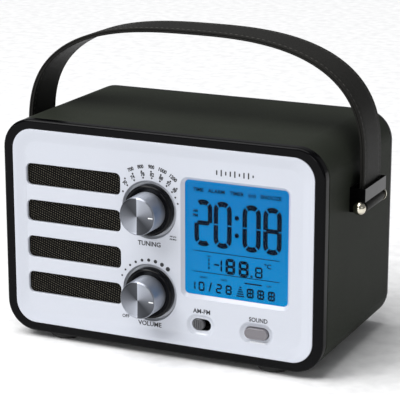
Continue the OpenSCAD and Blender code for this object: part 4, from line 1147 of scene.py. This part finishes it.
@dataclass
class Display:
    """The lit field of the clock and the dark figures and marks on it."""

    layout: Layout
    panel: FrontPanel
    lift: float = 0.09 * MM

    def build(self) -> None:
        """Lights the field and draws the time, the temperature and the date."""
        glass = Span.of("lcd_glass")
        self.level = self.layout.bezel.low.y - glass.low.y + self.lift
        bm = bmesh.new()
        for numeral, x in (("2", -22.6), ("0", -9.6), ("0", 9.7), ("8", 23.4)):
            self.figure(bm, numeral, x, 9.7, 12.2, 30.0, 3.1, 5.9)
        for y in (15.3, 4.2):
            disc(bm, self.panel.display.x - 0.1 * MM, self.panel.display.y + y * MM, 1.55 * MM, self.level)
        for y in (-8.5, -22.0):
            self.mark(bm, -0.7, y, 58.6, 0.5)
        self.draw_temperature(bm)
        self.draw_date(bm)
        for words, width, x in (("TIME", 7.4, -26.0), ("ALARM", 11.4, -13.8), ("TIMER", 9.6, -0.3),
                                ("SNOOZE", 13.8, 22.2)):
            self.word(bm, words, 2.4, width, x, 30.5)
        self.word(bm, "(o)", 2.3, 5.0, 9.9, 30.6)
        self.word(bm, "AM", 2.0, 3.4, -28.0, 16.9)
        self.word(bm, "PM", 2.0, 3.4, -28.0, 13.9)
        finish_piece(bm, "display_figures", "cabinet", SEGMENT_INK, self.layout.front)

    def figure(self, bm: bmesh.types.BMesh, numeral: str, x: float, y: float, width: float,
               height: float, bar: float, radius: float) -> None:
        """Draws one figure; sizes are in millimetres from the display's middle."""
        Figure(numeral, self.panel.display.x + x * MM, self.panel.display.y + y * MM, width * MM,
               height * MM, bar * MM, radius * MM).draw(bm, self.level)

    def mark(self, bm: bmesh.types.BMesh, x: float, y: float, width: float, height: float) -> None:
        """Draws one stripe; sizes are in millimetres from the display's middle."""
        stripe(bm, self.panel.display.x + x * MM, self.panel.display.y + y * MM, width * MM,
               height * MM, self.level)

    def word(self, bm: bmesh.types.BMesh, words: str, height: float, width: float, x: float,
             y: float) -> None:
        """Draws a word; sizes are in millimetres from the display's middle."""
        lettering(bm, words, height * MM, self.panel.display.x + x * MM,
                  self.panel.display.y + y * MM, self.level, width=width * MM, weight=0.03)

    def draw_temperature(self, bm: bmesh.types.BMesh) -> None:
        """Draws the temperature row."""
        for y, height in ((-11.2, 0.7), (-13.6, 1.6), (-16.2, 1.6), (-18.8, 1.6)):
            self.mark(bm, -18.8, y, 1.1 if height > 1 else 2.8, height)
        self.mark(bm, -13.6, -16.2, 3.6, 1.1)
        self.figure(bm, "1", -11.4, -16.4, 3.2, 8.6, 1.2, 1.0)
        self.figure(bm, "8", -4.3, -16.2, 6.6, 10.2, 1.9, 2.1)
        self.figure(bm, "8", 4.6, -16.6, 6.8, 10.2, 1.9, 2.1)
        self.mark(bm, 9.9, -20.6, 1.4, 1.4)
        self.figure(bm, "8", 14.7, -17.6, 5.0, 7.2, 1.1, 1.2)
        self.word(bm, "°C", 2.8, 4.6, 20.6, -13.0)

    def draw_date(self, bm: bmesh.types.BMesh) -> None:
        """Draws the date row, the rising bars and three plain tiles."""
        for numeral, x in (("1", -30.0), ("0", -23.8), ("2", -12.0), ("8", -5.4)):
            self.figure(bm, numeral, x, -31.4, 4.2, 6.2, 1.1, 1.2)
        self.word(bm, "/", 5.4, 2.4, -17.8, -31.4)
        for words, width, x in (("MONTH", 5.0, -22.4), ("DATE", 4.0, -8.6), ("DAY", 3.2, 21.6)):
            self.word(bm, words, 1.2, width, x, -25.5)
        self.mark(bm, 11.0, -25.5, 11.6, 0.9)
        for i in range(5):
            self.mark(bm, 2.5, -34.3 + 1.45 * i, 5.4 - 0.95 * i, 0.85)
        for x in (9.1, 16.1, 23.2):
            self.figure(bm, "8", x, -31.6, 4.8, 6.2, 1.15, 1.2)
            self.mark(bm, x, -31.6, 0.8, 3.6)


# ---------------------------------------------------------------------------------------------
# Controls
# ---------------------------------------------------------------------------------------------


@dataclass
class Knob:
    """One turned knob: a black skirt in the panel's dish, a metal cap and its white pointer."""

    layout: Layout
    name: str
    skirt_radius: float = 16.3 * MM
    skirt_back: float = -3.85 * MM
    skirt_front: float = 1.6 * MM
    pointer_length: float = 3.4 * MM
    pointer_width: float = 0.75 * MM
    rounding: float = 0.18 * MM

    def build(self) -> None:
        """Turns the skirt and the cap, and sets in the pointer."""
        cap = Span.of(f"{self.name}_knob_cap")
        self.x, self.y = cap.mid.x, self.layout.up(cap.mid.z)
        self.cap_radius = cap.size.x / 2
        self.face = self.layout.bezel.low.y - cap.low.y
        self.build_skirt()
        self.build_cap(cap)
        self.build_pointer()

    def build_skirt(self) -> None:
        """Turns the skirt with a dished front."""
        outer, front = self.skirt_radius, self.skirt_front
        profile = [(0.0, self.skirt_back, 0.0), (outer, self.skirt_back, 0.0),
                   (outer, front - 0.9 * MM, 0.5 * MM), (outer - 1.1 * MM, front, 0.45 * MM),
                   (outer - 2.4 * MM, front - 0.35 * MM, 0.5 * MM),
                   (self.cap_radius + 0.35 * MM, front - 0.9 * MM, 0.0), (0.0, front - 0.9 * MM, 0.0)]
        bm = bmesh.new()
        lathe(bm, profile, self.x, self.y, 96)
        finish_piece(bm, f"{self.name}_skirt", self.name, KNOB_BLACK,
                     self.layout.front, [f"{self.name}_knob_body"])

    def build_cap(self, cap: Span) -> None:
        """Turns the cap: a long side, a chamfer and a dished face."""
        radius, face, base = self.cap_radius, self.face, self.skirt_front - 0.8 * MM
        profile = [(radius - 1.3 * MM, base, 0.0), (radius, base, 0.1 * MM),
                   (radius - 0.15 * MM, face - 0.9 * MM, self.rounding),
                   (radius - 0.95 * MM, face, self.rounding), (radius - 1.5 * MM, face, 0.1 * MM),
                   (radius - 1.7 * MM, face - 0.12 * MM, 0.1 * MM), (0.0, face - 0.35 * MM, 0.0)]
        under = [(0.0, face - 1.3 * MM, 0.0), (radius - 1.3 * MM, face - 1.3 * MM, 0.0), profile[0]]
        bm = bmesh.new()
        lathe(bm, profile, self.x, self.y, 128)
        lathe(bm, under, self.x, self.y, 128)
        # The cap's metal has light and dark reflection sectors painted on its face
        metal = Turned(f"{self.name}_spun_metal", (0.36, 0.38, 0.43), 0.42,
                       centre=(cap.mid.x, 0.0, cap.mid.z), face=cap.low.y + 0.5 * MM)
        finish_piece(bm, f"{self.name}_cap", self.name, metal,
                     self.layout.front, [f"{self.name}_knob_cap"])

    def build_pointer(self) -> None:
        """Fills the pointer's notch with white."""
        bm = bmesh.new()
        middle = self.x + self.cap_radius - 1.0 * MM - self.pointer_length / 2
        shape = Outline.oval(self.pointer_length, self.pointer_width, middle, self.y)
        boss(bm, shape, self.face - 0.6 * MM, self.face + 0.02 * MM, 0.1 * MM)
        finish_piece(bm, f"{self.name}_pointer", self.name, POINTER_WHITE,
                     self.layout.front)


@dataclass
class FrontSwitches:
    """The band switch's ribbed thumb piece and the sound button."""

    layout: Layout
    rib_count: int = 5
    rib_width: float = 0.75 * MM
    rib_rise: float = 0.45 * MM

    def build(self) -> None:
        """Builds both."""
        self.build_thumb()
        self.build_button()

    def build_thumb(self) -> None:
        """Builds the thumb piece with its upright ribs and its stem."""
        span = Span.of("band_slider")
        x, y = span.mid.x, self.layout.up(span.mid.z)
        top = self.layout.bezel.low.y - span.low.y - self.rib_rise
        bm = bmesh.new()
        boss(bm, Outline.oval(span.size.x, span.size.z, x, y), top - 2.4 * MM, top, 0.5 * MM)
        boss(bm, Outline(4.0 * MM, 3.0 * MM, 0.2 * MM, x, y, 2), top - 6.0 * MM, top - 2.3 * MM, 0.1 * MM)
        for i in range(self.rib_count):
            offset = (i - (self.rib_count - 1) / 2) * 2 * self.rib_width
            reach = math.sqrt(max(0.1, 1 - (2.1 * offset / span.size.x) ** 2)) * 0.84
            rib = Outline(self.rib_width, span.size.z * reach, 0.3 * MM, x + offset, y, 3)
            boss(bm, rib, top - 0.4 * MM, top + self.rib_rise, 0.2 * MM)
        finish_piece(bm, "band_thumb", "band_slider", SWITCH_GREY,
                     self.layout.front, ["band_slider"], weighted=True)

    def build_button(self) -> None:
        """Builds the sound button with a raised rim and a shallow hollow."""
        span = Span.of("sound_button")
        outline = Outline.oval(span.size.x - 3.0 * MM, span.size.z - 3.0 * MM, span.mid.x,
                               self.layout.up(span.mid.z))
        top = self.layout.bezel.low.y - span.low.y
        hollow = [(outline.grown(-1.7 * MM), top - 0.28 * MM), (outline.grown(-1.2 * MM), top - 0.22 * MM),
                  (outline.grown(-0.85 * MM), top - 0.04 * MM)]
        flange = outline.grown(1.5 * MM)
        bm = bmesh.new()
        plate(bm, hollow + eased(outline, top, 0.5 * MM, -1, -1)
              + [(outline, top - 4.4 * MM), (flange, top - 4.4 * MM), (flange, top - 5.4 * MM)])
        finish_piece(bm, "sound_button_cap", "sound_button", BUTTON_GREY,
                     self.layout.front, ["sound_button"], weighted=True)


# ---------------------------------------------------------------------------------------------
# Carrying strap
# ---------------------------------------------------------------------------------------------


@dataclass
class Strap:
    """The carrying strap: two stitched layers of leather, each end sewn round a pin."""

    arch_power: float = 2.75
    straight: float = 24.0 * MM
    shoulder: float = 30.0 * MM
    flex: float = 12.0 * MM
    loop_radius: float = 4.2 * MM
    bore: float = 1.45 * MM
    layer: float = 1.38 * MM
    groove: float = 0.07 * MM
    edge: float = 0.42 * MM
    step: float = 2.0 * MM
    across: int = 14
    stitch_pitch: float = 3.6 * MM
    stitch_length: float = 2.7 * MM
    stitch_width: float = 0.55 * MM
    stitch_inset: float = 2.6 * MM
    dimple: float = 0.22 * MM

    def build(self) -> None:
        """Builds both halves of the strap, which meet at its top."""
        self.measure()
        for side, leg in ((-1, "strap_left_leg"), (1, "strap_right_leg")):
            self.build_half(side, leg)

    def measure(self) -> None:
        """Reads the strap's size from its nodes and walks along the middle of its thickness."""
        leg, span, pin = Span.of("strap_right_leg"), Span.of("strap_span"), Span.of("strap_pins")
        self.width, self.y = leg.size.y, leg.mid.y
        self.pin_z = pin.mid.z
        self.thickness = 2 * (self.layer + self.groove)
        outer, foot = span.high.x, self.pin_z + self.straight
        self.pin_x = outer - 1.5 * MM
        rise = span.high.z - foot
        cuts = 600
        self.points = [Vector((self.pin_x, 0, self.pin_z))]
        for i in range(cuts + 1):
            turn = math.pi / 2 * i / cuts
            power = 2 / self.arch_power
            self.points.append(Vector(((outer - 1.5 * MM) * max(math.cos(turn), 0.0) ** power, 0,
                                       foot + (rise - 1.5 * MM) * math.sin(turn) ** power)))
        self.lengths = [0.0]
        for a, b in zip(self.points, self.points[1:]):
            self.lengths.append(self.lengths[-1] + (b - a).length)

    def at(self, distance: float) -> tuple[Vector, Vector]:
        """Returns the place on the strap's middle line and the direction outwards there."""
        place = min(max(bisect_right(self.lengths, distance) - 1, 0), len(self.points) - 2)
        a, b = self.points[place], self.points[place + 1]
        share = (distance - self.lengths[place]) / max(self.lengths[place + 1] - self.lengths[place], 1e-9)
        near, far = max(place - 3, 0), min(place + 4, len(self.points) - 1)
        along = (self.points[far] - self.points[near]).normalized()
        if place == 0:
            along = Vector((0, 0, 1))
        if far == len(self.points) - 1:
            along = Vector((-1, 0, 0))
        return a.lerp(b, share), Vector((along.z, 0, -along.x))

    def bend(self, bm: bmesh.types.BMesh, side: int) -> None:
        """Lays a mesh that was built straight along the strap: across, thickness, length."""
        for vert in bm.verts:
            place, out = self.at(vert.co.z)
            spot = place + out * vert.co.y
            vert.co = (side * spot.x, self.y + vert.co.x, spot.z)

    def dip(self, across: float) -> float:
        """How far the leather is pulled in by its seam, at a distance from the strap's middle."""
        seam = self.width / 2 - self.stitch_inset
        return self.dimple * math.exp(-((abs(across) - seam) / (0.9 * MM)) ** 2)

    def add_layer(self, bm: bmesh.types.BMesh, out: int) -> None:
        """Adds one layer of leather, straight, on one side of the middle line."""
        middle = out * (self.groove + self.layer / 2)
        section = Outline(self.width, self.layer, self.edge, 0.0, middle, 3)
        total = self.lengths[-1]
        steps = round(total / self.step)
        sheet = bmesh.new()
        edges = section.draw(sheet, 0.0)
        flats = [e for e in edges if e.calc_length() > self.width / 2]
        bmesh.ops.subdivide_edges(sheet, edges=flats, cuts=self.across)
        for vert in sheet.verts:
            if out * (vert.co.y - middle) > 0:
                crown = 0.04 * MM * (1 - (2 * vert.co.x / self.width) ** 2)
                vert.co.y += out * (crown - self.dip(vert.co.x))
        first = sheet.edges[:]
        spun = bmesh.ops.spin(sheet, geom=sheet.verts[:] + first, axis=(0, 0, 1), cent=(0, 0, 0),
                              angle=0.0, dvec=(0, 0, total / steps), steps=steps)
        last = [g for g in spun["geom_last"] if isinstance(g, bmesh.types.BMEdge)]
        for rim in (first, last):
            bmesh.ops.triangle_fill(sheet, use_beauty=True, edges=rim)
        absorb(bm, sheet)

    def build_half(self, side: int, leg: str) -> None:
        """Builds one half: two layers, the roll round the pin, and the stitching."""
        name = "left" if side < 0 else "right"
        bm = bmesh.new()
        for out in (1, -1):
            self.add_layer(bm, out)
        self.bend(bm, side)
        roll = bmesh.new()
        half, outer, bore = self.width / 2, self.loop_radius, self.bore
        lathe(roll, [(bore, -half, 0.0), (outer, -half, self.edge), (outer, half, self.edge),
                     (bore, half, 0.0), (bore, -half, 0.0)], steps=40)
        place = (Matrix.Translation((side * self.pin_x, self.y, self.pin_z))
                 @ Matrix.Rotation(math.pi / 2, 4, "X"))
        bmesh.ops.transform(roll, matrix=place, verts=roll.verts)
        self.clear_bore(bm, side)
        absorb(bm, roll)
        nodes = [leg, "strap_span"] if side < 0 else [leg]
        strap = finish_piece(bm, f"strap_{name}_half", leg, STRAP_LEATHER,
                             stands_for=nodes, ride=False)
        seams = self.stitch(side)
        stitching = finish_piece(seams, f"strap_{name}_stitching", leg, THREAD, ride=False)
        for piece in (strap, stitching):
            self.join(piece, side)

    def clear_bore(self, bm: bmesh.types.BMesh, side: int) -> None:
        """Cuts the layers off above the pin, inside the roll."""
        bmesh.ops.bisect_plane(bm, geom=bm.verts[:] + bm.edges[:] + bm.faces[:], dist=MERGE,
                               plane_co=(0, 0, self.pin_z + self.bore + 0.8 * MM), plane_no=(0, 0, 1),
                               clear_inner=True)
        bmesh.ops.holes_fill(bm, edges=[e for e in bm.edges if e.is_boundary], sides=0)

    def stitch(self, side: int) -> bmesh.types.BMesh:
        """Sews both edges of one half, on its outer and its inner face."""
        bm = bmesh.new()
        start, stop = self.loop_radius + 1.5 * MM, self.lengths[-1]
        count = int((stop - start) / self.stitch_pitch)
        pitch = (stop - start) / count
        seam = self.width / 2 - self.stitch_inset
        lift = self.thickness / 2 - self.dimple
        for i in range(count):
            for across in (-seam, seam):
                for out in (1, -1):
                    place = Matrix.Translation((across, out * lift, start + (i + 0.5) * pitch))
                    size = Matrix.Diagonal((self.stitch_width / 2, self.stitch_width / 2,
                                            self.stitch_length / 2, 1.0))
                    bmesh.ops.create_icosphere(bm, subdivisions=1, radius=1.0, matrix=place @ size)
        self.bend(bm, side)
        return bm

    def join(self, piece: bpy.types.Object, side: int) -> None:
        """Bakes a piece's place into its mesh, on either side; it isn't bent between a leg and the strap's top."""
        if side < 0:
            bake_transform(piece)
        else:
            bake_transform(piece)


@dataclass
class StrapFittings:
    """The black nickel brackets on the cabinet's sides, their pins and their screws."""

    def build(self) -> None:
        """Breaks the brackets' edges and polishes the pins' domes."""
        refined("strap_brackets", "strap_bracket_pair", "cabinet", BLACK_NICKEL, 0.22 * MM)
        refined("strap_pins", "strap_pin_pair", "cabinet", NICKEL, 0.15 * MM)


# ---------------------------------------------------------------------------------------------
# Back and aerial
# ---------------------------------------------------------------------------------------------


@dataclass
class Back:
    """The back cover, the battery door, the four buttons and the sockets."""

    layout: Layout
    button_radius: float = 4.0 * MM
    flange_radius: float = 5.2 * MM
    stem_radius: float = 1.6 * MM
    grip_ribs: int = 6

    def build(self) -> None:
        """Builds everything on the back."""
        refined("rear_cover", "back_cover", "cabinet", CASE_PLASTIC, 0.35 * MM)
        refined("battery_door", "battery_lid", "battery_door", CASE_PLASTIC, 0.3 * MM)
        for name in ("dc_socket", "headphone_socket"):
            refined(name, f"{name}_body", "cabinet", KNOB_BLACK, 0.15 * MM)
        for name in ("mode_button", "set_button", "up_button", "down_button"):
            self.build_button(name)
        self.build_grip()
        self.print_labels()

    def build_button(self, name: str) -> None:
        """Turns one button with a domed cap."""
        span = Span.of(name)
        top, foot = span.high.y - self.layout.cover.high.y, span.low.y - self.layout.cover.high.y
        shelf = self.layout.leather.high.y - self.layout.cover.high.y - 0.3 * MM
        profile = [(0.0, foot, 0.0), (self.stem_radius, foot, 0.0), (self.stem_radius, shelf - 1.1 * MM, 0.0),
                   (self.flange_radius, shelf - 1.1 * MM, 0.0), (self.flange_radius, shelf, 0.0),
                   (self.button_radius, shelf, 0.0), (self.button_radius, top - 0.45 * MM, 0.25 * MM),
                   (self.button_radius - 0.6 * MM, top - 0.1 * MM, 0.3 * MM), (1.6 * MM, top, 0.5 * MM),
                   (0.0, top, 0.0)]
        bm = bmesh.new()
        lathe(bm, profile, -span.mid.x, self.layout.up(span.mid.z), 48)
        finish_piece(bm, f"{name}_cap", name, REAR_GREY, self.layout.back, [name])

    def build_grip(self) -> None:
        """Adds grip ribs under the battery door's finger notch."""
        door = Span.of("battery_door")
        level = door.high.y - self.layout.cover.high.y
        bm = bmesh.new()
        for i in range(self.grip_ribs):
            rib = Outline(15.0 * MM - 1.2 * MM * i, 0.8 * MM, 0.35 * MM, -door.mid.x,
                          self.layout.up(door.high.z) - (8.0 + 1.6 * i) * MM, 3)
            boss(bm, rib, level - 0.3 * MM, level + 0.17 * MM, 0.12 * MM)
        finish_piece(bm, "battery_lid_grip", "battery_door", CASE_PLASTIC,
                     self.layout.back)

    def print_labels(self) -> None:
        """Prints what the buttons and sockets do on the back cover."""
        bm = bmesh.new()
        for words, node, rise in (("MODE", "mode_button", 7.0), ("SET", "set_button", 7.0),
                                  ("UP", "up_button", 7.0), ("DOWN", "down_button", 7.0),
                                  ("PHONES", "headphone_socket", 6.6), ("DC", "dc_socket", 7.6)):
            span = Span.of(node)
            lettering(bm, words, 1.9 * MM, -span.mid.x, self.layout.up(span.mid.z) + rise * MM, 0.03 * MM)
        finish_piece(bm, "back_print", "cabinet", POINTER_WHITE, self.layout.back)


@dataclass
class Aerial:
    """The telescopic aerial: knuckle, three tubes and a turned tip."""

    knob_radius: float = 2.2 * MM

    def build(self) -> None:
        """Polishes the knuckle and the tubes."""
        for name, title in (("aerial_swivel", "aerial_knuckle"), ("aerial_mast", "aerial_outer_tube"),
                            ("aerial_middle", "aerial_middle_tube"), ("aerial_tip", "aerial_inner_tube")):
            refined(name, title, name, CHROME, 0.18 * MM)
        self.build_tip()

    def build_tip(self) -> None:
        """Turns two fine rings into the tip's knob."""
        span = Span.of("aerial_tip")
        bm = bmesh.new()
        for depth in (1.0 * MM, 2.2 * MM):
            ring = [(self.knob_radius - 0.05 * MM, -depth - 0.25 * MM, 0.0),
                    (self.knob_radius + 0.12 * MM, -depth - 0.12 * MM, 0.0),
                    (self.knob_radius + 0.12 * MM, -depth + 0.12 * MM, 0.0),
                    (self.knob_radius - 0.05 * MM, -depth + 0.25 * MM, 0.0),
                    (self.knob_radius - 0.05 * MM, -depth - 0.25 * MM, 0.0)]
            lathe(bm, ring, steps=32)
        place = (Matrix.Translation((span.low.x, span.mid.y, span.mid.z))
                 @ Matrix.Rotation(-math.pi / 2, 4, "Y"))
        finish_piece(bm, "aerial_tip_rings", "aerial_tip", CHROME, place)


# ---------------------------------------------------------------------------------------------
# Carried-over nodes, studio and the order of work
# ---------------------------------------------------------------------------------------------


def dress_nodes() -> None:
    """Gives every node of the frame the finish of its material slot."""
    for part in frame["record"]["subparts"]:
        node = frame["nodes"][part["node"]]
        finish = NODE_FINISH.get(part["node"], SLOT_FINISH[part["material_slot"]])
        node.data.materials.clear()
        node.data.materials.append(finish.material())


@dataclass
class Studio:
    """A pale floor, soft lights and the camera."""

    target: tuple[float, float, float] = (0.02854, -0.0581, 0.1062)
    eye: tuple[float, float, float] = (0.46326, -0.99494, 0.38783)
    focal_length: float = 157.93
    floor_size: float = 14.0

    def build(self) -> None:
        """Sets up the whole studio."""
        self.build_floor()
        self.build_world()
        self.build_lights()
        self.build_camera()
        bpy.context.scene.view_settings.view_transform = "Standard"

    def build_floor(self) -> None:
        """Lays a wide pale floor under the feet."""
        bm = bmesh.new()
        bmesh.ops.create_grid(bm, x_segments=1, y_segments=1, size=self.floor_size / 2)
        mesh = bpy.data.meshes.new("floor")
        bm.to_mesh(mesh)
        bm.free()
        floor = bpy.data.objects.new("floor", mesh)
        floor.data.materials.append(Moulded("pale_floor", (0.93, 0.93, 0.935), 0.6,
                                            60.0, 0.02 * MM).material())
        bpy.context.scene.collection.objects.link(floor)

    def build_world(self) -> None:
        """Fills the studio with soft white light."""
        world = bpy.data.worlds.new("studio")
        world.use_nodes = True
        background = next(n for n in world.node_tree.nodes if n.type == "BACKGROUND")
        background.inputs["Color"].default_value = (0.97, 0.98, 1.0, 1.0)
        background.inputs["Strength"].default_value = 0.22
        bpy.context.scene.world = world

    def build_lights(self) -> None:
        """Hangs a key light at the upper left, a fill at the right, a front and a top light."""
        for name, place, energy, size in (
                ("key", (-0.9, -1.3, 1.35), 11.0, 0.7), ("fill", (1.5, -0.7, 0.7), 0.8, 0.6),
                ("front", (0.15, -1.7, 0.5), 3.0, 0.35), ("daylight", (-0.4, -0.5, 1.6), 2.9, 1.0)):
            light = bpy.data.lights.new(name, "SUN" if name == "daylight" else "AREA")
            light.energy = energy
            if name == "daylight":
                light.angle = size
            else:
                light.size = size
            lamp = bpy.data.objects.new(name, light)
            lamp.location = place
            aim = Vector(self.target) - Vector(place)
            lamp.rotation_euler = aim.to_track_quat("-Z", "Y").to_euler()
            bpy.context.scene.collection.objects.link(lamp)

    def build_camera(self) -> None:
        """Sets the camera."""
        lens = bpy.data.cameras.new("camera")
        lens.lens, lens.sensor_width = self.focal_length, 36.0
        camera = bpy.data.objects.new("camera", lens)
        camera.location = self.eye
        aim = Vector(self.target) - Vector(self.eye)
        camera.rotation_euler = aim.to_track_quat("-Z", "Y").to_euler()
        bpy.context.scene.collection.objects.link(camera)
        bpy.context.scene.camera = camera


def main() -> None:
    """Builds the radio's pieces in order, then the studio."""
    logging.basicConfig(level=logging.INFO, format="%(name)s %(message)s")
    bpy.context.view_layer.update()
    dress_nodes()
    layout = Layout()
    panel = FrontPanel(layout)
    display = Display(layout, panel)
    for part in (Case(layout), panel, PanelPrint(layout, panel), display, Knob(layout, "tuning"),
                 Knob(layout, "volume"), FrontSwitches(layout), Strap(), StrapFittings(), Back(layout),
                 Aerial(), Studio()):
        LOG.info("building %s", type(part).__name__)
        part.build()


if __name__ == "__main__":
    main()
